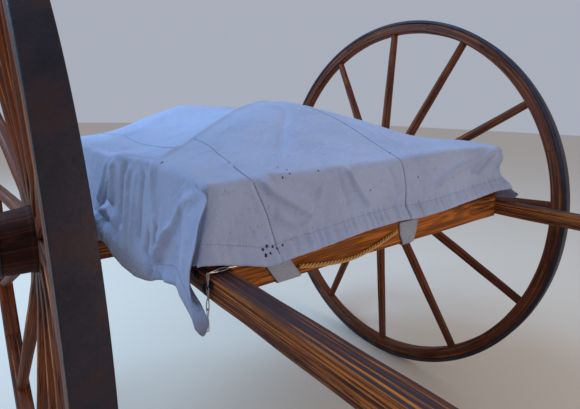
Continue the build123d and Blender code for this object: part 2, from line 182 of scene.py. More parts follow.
def rounded_section(width, height, radius, steps):
    """Points round a rectangle with arc corners, as arrays across and up. The sizes are columns."""
    quarter = np.linspace(0, np.pi / 2, steps)
    a, b = [], []
    for start, right, top in ((0, 1, 1), (1, -1, 1), (2, -1, -1), (3, 1, -1)):
        angle = quarter + start * np.pi / 2
        a.append(right * (width / 2 - radius) + radius * np.cos(angle))
        b.append(top * (height / 2 - radius) + radius * np.sin(angle))
    return np.concatenate(a, -1), np.concatenate(b, -1)


def ripple(seed, u, v, scale_u, scale_v, count=7):
    """Smooth seeded unevenness from -1 to 1: a sum of sines over u and v with random turns and phases."""
    rng = np.random.default_rng(seed)
    total = 0
    for _ in range(count):
        turns = rng.normal(0, scale_u) * u
        turns = turns + rng.normal(0, scale_v) * v
        total = total + np.sin(2 * np.pi * turns + rng.uniform(0, 2 * np.pi))
    return total / math.sqrt(count) / 1.5


def smooth_step(x):
    """0 below 0, 1 above 1, and 3x^2 - 2x^3 between."""
    x = np.clip(x, 0, 1)
    return x * x * (3 - 2 * x)


def wheel_place(side, points):
    """From a wheel's own frame (+X outward along its arm) to the axle's: spoke turn, side, tilt, place."""
    x, y, z = np.moveaxis(points, -1, 0)
    c, s = math.cos(SPOKE_TURN), math.sin(SPOKE_TURN)
    y, z = y * c - z * s, y * s + z * c
    if side < 0:
        x, y = -x, -y
    c, s = math.cos(side * TILT), math.sin(side * TILT)
    x, z = x * c + z * s, -x * s + z * c
    return np.stack([x + side * RIM_X, y, z + WHEEL_Z], -1)


def turned(profile, count):
    """Revolve an (x, radius) profile about X into a closed grid (profile point, angle, 3)."""
    angle = np.linspace(0, 2 * np.pi, count + 1)
    x, radius = np.asarray(profile, float).T[..., None]
    return np.stack(np.broadcast_arrays(x, radius * np.sin(angle), radius * np.cos(angle)), -1)


def closed_profile(points, radius, steps=4):
    """A closed polygon of (x, r) corners with each corner cut by an arc-like curve of that size."""
    points = np.asarray(points, float)
    out = []
    t = np.linspace(0, 1, steps)[:, None]
    for before, here, after in zip(np.roll(points, 1, 0), points, np.roll(points, -1, 0)):
        a = here + (before - here) * min(0.45, radius / np.linalg.norm(before - here))
        b = here + (after - here) * min(0.45, radius / np.linalg.norm(after - here))
        out.append((1 - t) ** 2 * a + 2 * t * (1 - t) * here + t ** 2 * b)
    out = np.concatenate(out)
    return np.concatenate([out, out[:1]])


def rectangle(low, high, inner, outer):
    """Corners of a section from low to high along the arm and from the inner to the outer radius."""
    return [(low, inner), (high, inner), (high, outer), (low, outer)]


def beam(path, across, up, width, height, radius, seed, rough, steps=6):
    """A timber along a path: at each point a rounded rectangle spanned by across and up, moved in and
    out along its own radius by a seeded sum of sines. Returns a closed grid and its wear, which is 1
    on the rounded edges and 0 on the flats."""
    column = np.zeros((len(path), 1))
    width, height, radius = (column + np.reshape(value, (-1, 1)) for value in (width, height, radius))
    a, b = rounded_section(width, height, radius, steps)
    along = run_lengths(path)[:, None]
    turn = np.arctan2(b, a) / (2 * np.pi)
    push = ripple(seed, along, turn, 5.0, 2.0) + 0.5 * ripple(seed + 1, along, turn, 1.0, 9.0)
    grow = 1 + push * rough / np.hypot(a, b)
    a, b = a * grow, b * grow
    rings = path[:, None] + a[..., None] * np.array(across) + b[..., None] * np.array(up)
    flat = np.minimum((width / 2 - abs(a)) / radius, 1) + np.minimum((height / 2 - abs(b)) / radius, 1)
    wear_and_shade = np.clip(1 - flat, 0, 1)
    wear_and_shade = np.concatenate([wear_and_shade, wear_and_shade[:, :1]], 1)
    return closed(rings), np.concatenate([wear_and_shade[:1], wear_and_shade, wear_and_shade[-1:]])


def straight(start, end, step, ease):
    """Points along a straight timber, with extra ones near the ends for their rounding, and how far its
    faces draw in at each: by an arc of radius ease over the last millimetres."""
    length = np.linalg.norm(end - start)
    lead = (ease * (1 - np.cos(np.linspace(0, np.pi / 2, 5))))[:-1]
    inner = np.linspace(ease, length - ease, max(2, int(length / step)))
    at = np.concatenate([lead, inner, (length - lead)[::-1]])
    depth = np.minimum(at, length - at)
    cut = ease - np.sqrt(np.clip(ease ** 2 - np.clip(ease - depth, 0, ease) ** 2, 0, None))
    return start + (end - start) * (at / length)[:, None], cut


def box_timber(surface, low, high, axis, radius, seed, rough=0.0005, step=0.02):
    """A box-shaped timber with rounded edges, its grain along the given axis (0, 1 or 2)."""
    low, high = np.array(low), np.array(high)
    start = (low + high) / 2
    end = start.copy()
    start[axis], end[axis] = low[axis], high[axis]
    path, cut = straight(start, end, step, radius)
    first, second = [i for i in range(3) if i != axis]
    width, height = ((high - low)[i] - 2 * cut for i in (first, second))
    points, wear_and_shade = beam(path, np.eye(3)[first], np.eye(3)[second], width, height, radius, seed, rough)
    surface.grid(points, wear_and_shade=wear_and_shade)


# Material making

def scaled(colour, share):
    """A colour made lighter or darker."""
    return tuple(min(1.0, value * share) for value in colour)


class Nodes:
    """Makes the nodes of one tree. Inputs are sockets or plain values. Where no other is named, a method
    gives the new node's output socket."""

    def __init__(self, tree):
        self.tree = tree

    def feed(self, socket, value):
        """Link a socket or set its value, with a colour's alpha."""
        if isinstance(value, bpy.types.NodeSocket):
            self.tree.links.new(value, socket)
        else:
            socket.default_value = (*value, 1) if socket.type == "RGBA" else value

    def add(self, kind, links=None, **settings):
        """A node with its settings and its inputs. Gives the node."""
        node = self.tree.nodes.new(kind)
        for key, value in settings.items():
            setattr(node, key, value)
        for key, value in (links or {}).items():
            self.feed(node.inputs[key], value)
        return node

    def math(self, operation, a, b=0.0, clamp=False):
        """One Math node."""
        return self.add("ShaderNodeMath", {0: a, 1: b}, operation=operation, use_clamp=clamp).outputs[0]

    def times(self, product, *others):
        """The values multiplied together."""
        for value in others:
            product = self.math("MULTIPLY", product, value)
        return product

    def plus(self, total, *others):
        """The values added together."""
        for value in others:
            total = self.math("ADD", total, value)
        return total

    def less(self, a, b):
        """The value a less b."""
        return self.math("SUBTRACT", a, b)

    def mix(self, share, a, b):
        """Colour a where share is 0 and colour b where it is 1."""
        return self.add("ShaderNodeMix", {0: share, 6: a, 7: b}, data_type="RGBA").outputs[2]

    def span(self, value, low, high, start=0.0, end=1.0, shape="SMOOTHSTEP"):
        """From start where the value is at low or under, to end where it is at high or over."""
        links = {0: value, 1: low, 2: high, 3: start, 4: end}
        return self.add("ShaderNodeMapRange", links, interpolation_type=shape).outputs[0]

    def noise(self, vector, scale, detail=4.0, roughness=0.55, distortion=0.0):
        """A noise texture's value."""
        return self.add("ShaderNodeTexNoise", {
            "Vector": vector, "Scale": scale, "Detail": detail, "Roughness": roughness,
            "Distortion": distortion,
        }).outputs[0]

    def stretched(self, vector, along, across, *look):
        """Noise that runs out into streaks: its vector is scaled along X and across it."""
        links = {0: vector, 1: (along, across, across)}
        streaks = self.add("ShaderNodeVectorMath", links, operation="MULTIPLY").outputs[0]
        return self.noise(streaks, 1.0, *look)

    def coords(self, kind):
        """Object or UV coordinates."""
        return self.add("ShaderNodeTexCoord").outputs[kind]

    def part(self, vector, axis):
        """A vector's X, Y or Z."""
        return self.add("ShaderNodeSeparateXYZ", {0: vector}).outputs[axis]

    def wear_and_shade(self):
        """The piece's own attribute: edge wear on the timbers and straps, and painted shade in the rope's
        grooves.
        """
        return self.add("ShaderNodeAttribute", attribute_name="wear_and_shade").outputs["Fac"]

    def group(self, name, make, inputs):
        """A placed node group, made the first time that it is needed. Gives its outputs."""
        made = bpy.data.node_groups.get(name) or make(name)
        return self.add("ShaderNodeGroup", inputs, node_tree=made).outputs

    def dusted(self, colour, amount, dust):
        """The colour under dry dust."""
        mask = self.group("Ground dust", dust_group, {"Amount": amount})["Mask"]
        return self.mix(mask, colour, dust)

    def dress(self, colour, roughness, height, strength, distance, plain=None):
        """Feed the shader's colour, roughness and bump, and set its plain values."""
        inputs = self.tree.nodes["Principled BSDF"].inputs
        links = {"Strength": strength, "Distance": distance, "Height": height}
        bump = self.add("ShaderNodeBump", links).outputs[0]
        for key, value in {"Base Color": colour, "Roughness": roughness, "Normal": bump}.items():
            self.feed(inputs[key], value)
        for key, value in (plain or {}).items():
            inputs[key].default_value = value


def start_group(name, inputs, outputs):
    """An empty shader node group with named sockets. Gives its nodes, and its input and output node."""
    tree = bpy.data.node_groups.new(name, "ShaderNodeTree")
    for socket, kind in inputs.items():
        tree.interface.new_socket(name=socket, in_out="INPUT", socket_type=kind)
    for socket in outputs:
        tree.interface.new_socket(name=socket, in_out="OUTPUT", socket_type="NodeSocketFloat")
    return Nodes(tree), tree.nodes.new("NodeGroupInput").outputs, tree.nodes.new("NodeGroupOutput").inputs


def wood_group(name):
    """Weathered wood, grain along X: growth figure, long streaks, thin lines, fine fibre, drying cracks,
    broad patches, and the height for a bump."""
    names = ("Figure", "Streak", "Line", "Fibre", "Crack", "Patch", "Height")
    inputs = {"Vector": "NodeSocketVector", "Seed": "NodeSocketFloat"}
    nodes, given, out = start_group(name, inputs, names)
    offset = nodes.add("ShaderNodeCombineXYZ", {"X": given["Seed"], "Z": given["Seed"]}).outputs[0]
    links = {0: given["Vector"], 1: offset}
    place = nodes.add("ShaderNodeVectorMath", links, operation="ADD").outputs[0]
    broad = nodes.stretched(place, 1.8, 15.0, 3.0, 0.45, 0.5)
    figure = nodes.span(nodes.math("SINE", nodes.times(broad, 52.0)), -0.5, 0.95)
    streak = nodes.stretched(place, 1.7, 75.0, 4.0, 0.62, 0.1)
    line = nodes.stretched(place, 2.0, 230.0, 4.0, 0.68)
    fibre = nodes.stretched(place, 6.0, 420.0, 3.0, 0.7)
    thread = nodes.stretched(place, 2.6, 110.0, 5.0, 0.62, 0.15)
    near_thread = nodes.span(nodes.math("ABSOLUTE", nodes.less(thread, 0.5)), 0.004, 0.024)
    where = nodes.span(nodes.stretched(place, 1.4, 12.0, 2.0), 0.48, 0.60)
    crack = nodes.times(nodes.less(1.0, near_thread), where)
    patch = nodes.stretched(place, 3.0, 8.0, 4.0, 0.6)
    height = nodes.less(nodes.plus(nodes.times(fibre, 0.35), nodes.times(line, 1.1)), crack)
    for socket, value in zip(names, (figure, streak, line, fibre, crack, patch, height)):
        nodes.feed(out[socket], value)
    return nodes.tree


def dust_group(name):
    """Dry dust and dirt: a mask that is stronger toward the ground and in broad patches."""
    nodes, given, out = start_group(name, {"Amount": "NodeSocketFloat"}, ("Mask",))
    place = nodes.coords("Object")
    low = nodes.less(1.0, nodes.span(nodes.part(place, "Z"), 0.0, 0.5))
    cloud = nodes.span(nodes.noise(place, 9.0, 5.0, 0.65), 0.42, 0.68)
    mask = nodes.times(nodes.plus(nodes.times(low, 0.7), 0.2), cloud)
    nodes.feed(out["Mask"], nodes.math("MULTIPLY", mask, given["Amount"], clamp=True))
    return nodes.tree


def start_material(name):
    """A new node material and the maker of its nodes."""
    made = bpy.data.materials.new(name)
    made.use_nodes = True
    return made, Nodes(made.node_tree)


def wood_material(name, colours, amounts, upright=False, seed=0.0, roughness=0.5, topside=0.0, shine=0.13):
    """Oiled wood from the colours deep, middle, bright and grey. Amounts are how far the figure, the
    bright streaks and the greying show. Grain follows the UV map, or stands upright. One setting greys
    faces that look up, a painted reflection of the sky on the tops."""
    made, nodes = start_material(name)
    vector = nodes.coords("UV")
    if upright:
        links = {"Vector": nodes.coords("Object"), "Rotation": (0, math.pi / 2, 0)}
        vector = nodes.add("ShaderNodeMapping", links).outputs[0]
    grain = nodes.group("Weathered grain", wood_group, {"Vector": vector, "Seed": seed})
    line, fibre = grain["Line"], grain["Fibre"]
    deep, middle, bright, grey = colours
    figure_share, bright_share, grey_share = amounts
    mixed = nodes.plus(nodes.times(grain["Streak"], 0.3), nodes.times(line, 0.7))
    colour = nodes.mix(nodes.span(mixed, 0.43, 0.52), deep, middle)
    shade = nodes.times(nodes.less(1.0, grain["Figure"]), figure_share)
    colour = nodes.mix(shade, colour, scaled(deep, 1.2))
    glow = nodes.span(mixed, 0.60 - 0.10 * bright_share, 0.66 - 0.10 * bright_share)
    glow = nodes.times(glow, nodes.span(grain["Patch"], 0.38, 0.60), nodes.span(fibre, 0.34, 0.58))
    colour = nodes.mix(glow, colour, bright)
    colour = nodes.mix(nodes.times(nodes.span(fibre, 0.30, 0.70), 0.35), colour, scaled(middle, 1.7))
    pale = nodes.span(nodes.stretched(vector, 4.0, 30.0, 5.0, 0.6), 0.66 - 0.3 * grey_share, 0.80)
    # Painted reflection: faces that look up take the grey, standing in for the sky's sheen on the tops.
    if topside:
        upward = nodes.part(nodes.add("ShaderNodeNewGeometry").outputs["Normal"], "Z")
        between = nodes.less(1.25, nodes.span(mixed, 0.48, 0.56))
        pale = nodes.math("MAXIMUM", pale, nodes.times(nodes.span(upward, 0.3, 0.95), topside, between))
    pale = nodes.times(pale, nodes.less(1.0, nodes.times(glow, 0.8)))
    colour = nodes.mix(pale, colour, grey)
    rubbed = nodes.times(nodes.span(nodes.wear_and_shade(), 0.25, 0.9), nodes.span(line, 0.44, 0.56))
    colour = nodes.mix(rubbed, colour, scaled(bright, 1.3))
    colour = nodes.mix(grain["Crack"], colour, (0.004, 0.002, 0.003))
    colour = nodes.dusted(colour, 0.30, (0.16, 0.11, 0.08))
    rough = nodes.span(fibre, 0.0, 1.0, roughness - 0.10, roughness + 0.22, "LINEAR")
    nodes.dress(colour, rough, grain["Height"], 0.8, 0.0014, {"Specular IOR Level": shine})
    return made


def iron_material(name, base, rust, rust_share, roughness, metallic=0.45, pits=1.0, dust=0.3):
    """Forged iron: mottled dark scale, rust in patches, pale specks, hammer unevenness and pits."""
    made, nodes = start_material(name)
    place = nodes.coords("Object")
    broad = nodes.noise(place, 11.0, 7.0, 0.68)
    fine = nodes.noise(place, 240.0, 4.0, 0.7)
    colour = nodes.mix(nodes.span(broad, 0.36, 0.62), base, scaled(base, 1.8))
    patch = nodes.times(nodes.span(broad, 0.60 - rust_share, 0.74 - rust_share), nodes.span(fine, 0.35, 0.60))
    colour = nodes.mix(patch, colour, rust)
    speck = nodes.span(nodes.noise(place, 420.0, 3.0, 0.65), 0.64, 0.72)
    speck = nodes.times(speck, nodes.span(nodes.noise(place, 23.0, 3.0), 0.45, 0.65), 0.55)
    colour = nodes.mix(speck, colour, scaled(base, 7.0))
    colour = nodes.dusted(colour, dust, (0.14, 0.10, 0.085))
    rough = nodes.span(fine, 0.3, 0.7, roughness - 0.1, roughness + 0.15, "LINEAR")
    height = nodes.plus(fine, nodes.times(nodes.noise(place, 55.0, 3.0), 1.5))
    nodes.dress(colour, rough, height, 0.5 * pits, 0.0008, {"Metallic": metallic})
    return made


def spots(nodes, flat, places):
    """A mask of small ragged spots at places on the flat cloth: x, y and radius in millimetres."""
    ragged = nodes.times(nodes.less(nodes.noise(flat, 260.0, 3.0), 0.5), 0.006)
    total = 0.0
    for x, y, radius in places:
        links = {0: flat, 1: (x / 1000, y / 1000, 0)}
        away = nodes.add("ShaderNodeVectorMath", links, operation="DISTANCE").outputs["Value"]
        away = nodes.plus(away, ragged)
        spot = nodes.less(1.0, nodes.span(away, radius * 0.0007, radius * 0.0013))
        total = nodes.math("MAXIMUM", total, spot)
    return total


def canvas_material(name, base, stain, coarse=1.0, marks=()):
    """Faded cotton duck: plain weave in the UV's metres, sun-bleached clouds, creases, stains, painted
    grey-brown shade on what hangs low, and worn spots: the holes among them are painted near-black as
    the shade seen through them. Coarse scales the weave, as on webbing."""
    made, nodes = start_material(name)
    uv, place = nodes.coords("UV"), nodes.coords("Object")
    pitch = 2 * math.pi / (0.0012 * coarse)
    warp, weft = (nodes.math("SINE", nodes.times(nodes.part(uv, axis), pitch)) for axis in "XY")
    weave = nodes.times(warp, weft)
    long_way, short_way = 50.0, 800.0 / coarse
    slub = nodes.stretched(uv, short_way, long_way, 2.0)
    slub = nodes.plus(slub, nodes.stretched(uv, long_way, short_way, 2.0))
    cloud = nodes.noise(place, 3.5, 6.0, 0.62)
    colour = nodes.mix(nodes.span(cloud, 0.32, 0.68), scaled(base, 0.88), scaled(base, 1.10))
    warm = (base[0] * 1.16, base[1] * 1.06, base[2] * 0.94)
    fade = nodes.span(nodes.noise(place, 17.0, 6.0, 0.68), 0.38, 0.62)
    colour = nodes.mix(nodes.times(fade, 0.45), colour, warm)
    blot = nodes.span(nodes.noise(place, 60.0, 4.0, 0.6), 0.60, 0.72)
    blot = nodes.times(blot, nodes.span(nodes.noise(place, 5.0, 2.0), 0.46, 0.60), 0.28)
    colour = nodes.mix(blot, colour, stain)
    bright = nodes.times(nodes.less(slub, 1.0), 0.22 * coarse)
    bright = nodes.plus(bright, nodes.times(weave, 0.03 * coarse), 1.0)
    links = {0: colour, "Scale": bright}
    colour = nodes.add("ShaderNodeVectorMath", links, operation="SCALE").outputs[0]
    colour = nodes.mix(nodes.times(nodes.wear_and_shade(), 0.6), colour, scaled(base, 0.40))
    # Painted shade: cloth below about 0.77 m goes grey-brown, standing in for the shade on the low skirt and
    # the corner flap.
    low = nodes.less(1.0, nodes.span(nodes.part(place, "Z"), 0.745, 0.795))
    colour = nodes.mix(nodes.times(low, 0.80), colour, (0.215, 0.190, 0.200))
    if marks:
        # Painted shade in the holes: near-black where the shade under the cloth shows through, and at the
        # dark spots.
        colour = nodes.mix(spots(nodes, uv, marks), colour, (0.006, 0.005, 0.006))
    crease = nodes.times(nodes.noise(place, 30.0, 5.0, 0.6, 0.8), 4.0)
    crumple = nodes.noise(place, 130.0, 3.0, 0.6, 0.3)
    height = nodes.plus(crease, crumple, nodes.times(weave, 0.10 * coarse))
    nodes.dress(colour, 0.88, height, 0.6, 0.0018, {"Sheen Weight": 0.12, "Sheen Roughness": 0.5})
    return made


def rope_material(name, base):
    """Laid line: fine fibres along each strand, and painted shade that darkens the grooves where the strands
    meet.
    """
    made, nodes = start_material(name)
    uv = nodes.coords("UV")
    fibre = nodes.stretched(uv, 180.0, 2600.0, 3.0)
    colour = nodes.mix(nodes.span(fibre, 0.35, 0.65), scaled(base, 0.6), scaled(base, 1.1))
    tone = nodes.span(nodes.noise(uv, 30.0, 3.0), 0.45, 0.7)
    colour = nodes.mix(nodes.times(tone, 0.3), colour, (0.33, 0.26, 0.20))
    # Painted shade: deep in the grooves the rope goes dark, toward a sixth of its colour.
    colour = nodes.mix(nodes.wear_and_shade(), colour, scaled(base, 0.16))
    nodes.dress(colour, 0.8, fibre, 0.7, 0.0005)
    return made


def material(name):
    """The named material, made the first time that it is needed."""
    if name in bpy.data.materials:
        return bpy.data.materials[name]
    look = bpy.context.scene.cart_finish
    oiled = [tuple(colour) for colour in (look.wood_deep, look.wood_mid, look.wood_bright, look.wood_grey)]
    orange = ((0.060, 0.015, 0.004), (0.37, 0.100, 0.010), (0.62, 0.21, 0.025), (0.16, 0.08, 0.05))
    dark = ((0.010, 0.004, 0.004), (0.060, 0.015, 0.007), (0.150, 0.040, 0.010), (0.030, 0.018, 0.020))
    canvas = tuple(look.canvas)
    strap = tuple(colour * share for colour, share in zip(canvas, (0.88, 0.80, 0.68)))
    # name: the function that makes it, its values in order, then its other settings
    maker, *values, settings = {
        # The frame timbers' up-facing faces get a painted reflection of the sky, in the bleached grey.
        "Frame timber": (wood_material, oiled, (0.35, 1.0, 0.2), {"topside": 0.8}),
        "Beam timber": (wood_material, orange, (0.75, 0.6, 0.0), {"seed": 5.0}),
        "Wheel timber": (wood_material, oiled, (0.45, 0.5, 0.1), {"seed": 3.0}),
        "Nave timber": (wood_material, dark, (0.85, 0.3, 0.0),
                        {"seed": 9.0, "roughness": 0.65, "shine": 0.06}),
        "Box boards": (wood_material, oiled, (0.30, 0.3, 0.9), {"seed": 7.0}),
        "Leg timber": (wood_material, oiled, (0.40, 0.6, 0.3), {"upright": True, "seed": 11.0}),
        "Tyre iron": (iron_material, (0.012, 0.009, 0.016), (0.045, 0.016, 0.012), 0.10, 0.55, {}),
        "Forged iron": (iron_material, (0.010, 0.012, 0.018), (0.050, 0.020, 0.012), 0.04, 0.45, {}),
        "Bolt iron": (iron_material, (0.022, 0.008, 0.010), (0.060, 0.020, 0.012), 0.12, 0.5, {}),
        "Chain steel": (iron_material, (0.34, 0.33, 0.32), (0.16, 0.10, 0.06), 0.02, 0.30,
                        {"metallic": 0.85, "pits": 0.4, "dust": 0.1}),
        "Cotton duck": (canvas_material, canvas, (0.12, 0.11, 0.12), {"marks": SPOTS}),
        "Strap webbing": (canvas_material, strap, (0.06, 0.05, 0.05), {"coarse": 2.3}),
        "Dark thread": (rope_material, (0.19, 0.20, 0.27), {}),
        "Manila": (rope_material, tuple(look.manila), {}),
    }[name]
    return maker(name, *values, **settings)


# Settings that a user may change

def colour_setting(name, description, default):
    """A colour property."""
    return bpy.props.FloatVectorProperty(
        name=name, description=description, subtype="COLOR", size=3, min=0, max=1, default=default)


def length_setting(name, description, default):
    """A length property in metres."""
    return bpy.props.FloatProperty(name=name, description=description, default=default, unit="LENGTH")


class CartFinish(bpy.types.PropertyGroup):
    """Colours of the cart's canvas, rope and oiled timber."""
    canvas: colour_setting("Canvas", "Faded blue-grey of the cotton duck", (0.336, 0.388, 0.565))
    manila: colour_setting("Manila", "Rope colour", (0.72, 0.38, 0.11))
    wood_deep: colour_setting("Wood, deep", "Darkest oiled grain", (0.022, 0.008, 0.008))
    wood_mid: colour_setting("Wood, middle", "Main oiled wood colour", (0.150, 0.036, 0.010))
    wood_bright: colour_setting("Wood, bright", "Worn orange wood", (0.80, 0.25, 0.032))
    # This grey is also painted on the frame timbers' tops as a reflection of the sky.
    wood_grey: colour_setting("Wood, bleached", "Greyed surface fibres", (0.048, 0.030, 0.035))


class CartSizes(bpy.types.PropertyGroup):
    """Sizes of the dressed pieces that a user may change."""
    canvas_thickness: length_setting("Canvas thickness", "Thickness of the duck", 0.0014)
    edge_bevel: length_setting("Plain edge rounding", "Rounding of nut, bracket and leg edges", 0.0015)
    bolt_radius: length_setting("Bolt head radius", "Radius of the round bolt heads", 0.0065)
    rope_diameter: length_setting("Rope diameter", "Diameter of the tie rope", 0.009)


class CartOperator(bpy.types.Operator):
    """Base of the cart's operators"""
    bl_options = {"REGISTER", "UNDO"}


# Camera: its place in the cart's frame, its turns, and its lens and shift for a 36 mm wide sensor
CAMERA_PLACE = (-0.822, -0.332, 1.096)
CAMERA_YAW, CAMERA_PITCH, CAMERA_ROLL = (math.radians(a) for a in (41.266, 4.485, -1.528))
CAMERA_LENS = 25.783
CAMERA_SHIFT_X, CAMERA_SHIFT_Y = -0.0462, -0.1034


class CART_OT_camera(CartOperator):
    """Camera at the photograph's viewpoint, with the shift of its crop"""
    bl_idname = "cart.camera"
    bl_label = "Camera"

    def execute(self, context):
        """Place the camera from yaw, pitch and roll; its axes are right, up and back."""
        yaw, pitch, roll = CAMERA_YAW, CAMERA_PITCH, CAMERA_ROLL
        ahead = np.array([math.sin(yaw) * math.cos(pitch), math.cos(yaw) * math.cos(pitch), -math.sin(pitch)])
        level = np.array([math.cos(yaw), -math.sin(yaw), 0.0])
        down = np.cross(ahead, level)
        right = math.cos(roll) * level + math.sin(roll) * down
        below = -math.sin(roll) * level + math.cos(roll) * down
        data = bpy.data.cameras.new("Camera")
        data.sensor_width = 36.0
        data.lens = CAMERA_LENS
        data.shift_x, data.shift_y = CAMERA_SHIFT_X, CAMERA_SHIFT_Y
        data.clip_start = 0.02
        camera = bpy.data.objects.new("Camera", data)
        context.scene.collection.objects.link(camera)
        matrix = np.eye(4)
        matrix[:3] = np.stack([right, -below, -ahead, CAMERA_PLACE], -1)
        camera.matrix_world = Matrix(matrix.tolist())
        context.scene.camera = camera
        return {"FINISHED"}


class CART_OT_stage(CartOperator):
    """Pale flat floor, soft sky light and two large lamps"""
    bl_idname = "cart.stage"
    bl_label = "Stage"

    def execute(self, context):
        """A flat floor and a soft world, with a cool lamp from behind and a weak warm one in front."""
        look = bpy.data.materials.new("Pale floor")
        look.use_nodes = True
        inputs = look.node_tree.nodes["Principled BSDF"].inputs
        inputs["Base Color"].default_value = (0.78, 0.68, 0.56, 1)
        inputs["Roughness"].default_value = 0.9
        mesh = bpy.data.meshes.new("Floor")
        reach = 30
        corners = [(-reach, -reach, 0), (reach, -reach, 0), (reach, reach, 0), (-reach, reach, 0)]
        mesh.from_pydata(corners, [], [(0, 1, 2, 3)])
        floor = bpy.data.objects.new("Floor", mesh)
        floor.data.materials.append(look)
        context.scene.collection.objects.link(floor)
        world = bpy.data.worlds.new("Soft sky")
        world.use_nodes = True
        sky = world.node_tree.nodes["Background"].inputs
        sky["Color"].default_value = (0.80, 0.85, 1.0, 1)
        sky["Strength"].default_value = 0.50
        context.scene.world = world
        context.scene.view_settings.view_transform = "Standard"
        # name, place, aim, width, power, colour
        for name, place, aim, size, power, colour in (
            ("Sky", (-2.6, 3.6, 4.2), (0, 0.6, 0.9), 2.6, 320.0, (0.36, 0.64, 1.0)),
            ("Front", (1.8, -3.8, 1.8), (0, 0.6, 0.8), 2.0, 60.0, (1.0, 0.82, 0.62)),
        ):
            data = bpy.data.lights.new(name, "AREA")
            data.size, data.energy, data.color = size, power, colour
            lamp = bpy.data.objects.new(name, data)
            lamp.location = place
            lamp.rotation_mode = "QUATERNION"
            lamp.rotation_quaternion = (Vector(aim) - Vector(place)).to_track_quat("-Z", "Y")
            context.scene.collection.objects.link(lamp)
        return {"FINISHED"}


# Tie rope: the points that control its route, its length, and the length of one turn of a strand
ROPE_Y = -0.6313
ROPE_ROUTE = (
    (-0.332, ROPE_Y, 0.801), (-0.232, ROPE_Y - 0.001, 0.783), (-0.130, ROPE_Y - 0.001, 0.789),
    (-0.036, ROPE_Y, 0.818),
)
ROPE_LAY = 0.029


def rope_line(route):
    """Points of the quadratic curve that the route's points control."""
    curve = bpy.data.curves.new("Route", "CURVE")
    curve.dimensions = "3D"
    curve.resolution_u = 24
    spline = curve.splines.new("NURBS")
    spline.points.add(len(route) - 1)
    for point, place in zip(spline.points, route):
        point.co = (*place, 1)
    spline.order_u = 3
    spline.use_endpoint_u = True
    holder = bpy.data.objects.new("Route", curve)
    bpy.context.scene.collection.objects.link(holder)
    bpy.context.view_layer.update()
    mesh = bpy.data.meshes.new_from_object(holder)
    points = np.zeros(len(mesh.vertices) * 3)
    mesh.vertices.foreach_get("co", points)
    bpy.data.meshes.remove(mesh)
    bpy.data.objects.remove(holder)
    bpy.data.curves.remove(curve)
    return points.reshape(-1, 3)


def resample(points, count):
    """The same line with points at equal steps of length, and those lengths."""
    lengths = run_lengths(points)
    at = np.linspace(0, lengths[-1], count)
    return at_lengths(at, lengths, points), at


class CART_OT_rope(CartOperator):
    """Manila line between the straps"""
    bl_idname = "cart.rope"
    bl_label = "Tie rope"

    def execute(self, context):
        """Three strands: each a small tube whose middle circles the route, one turn in each lay."""
        path, at = resample(rope_line(ROPE_ROUTE), 260)
        tangent = unit(np.gradient(path, axis=0))
        side = unit(np.cross(tangent, (0, 1, 0)))
        ahead = np.cross(side, tangent)
        diameter = context.scene.cart_sizes.rope_diameter
        off_middle, strand_radius = diameter * 0.27, diameter * 0.235
        surface = Surface()
        for strand in range(3):
            turn = (2 * np.pi * (at / ROPE_LAY + strand / 3))[:, None]
            core = path + off_middle * (np.cos(turn) * side + np.sin(turn) * ahead)
            rings = closed(tube(core, side, ahead, strand_radius, 12))
            rows = np.clip(np.arange(len(rings)) - 1, 0, len(path) - 1)
            out = np.linalg.norm(rings - path[rows][:, None], axis=2) / (diameter / 2)
            # Painted shade: 1 deep in the grooves near the rope's middle, 0 on the strands' crowns.
            surface.grid(rings, wear_and_shade=1 - smooth_step((out - 0.5) / 0.35))
        obj = surface.finish("Tie_rope", "Manila", "cart", "manila", "tie_rope")
        return {"FINISHED"}


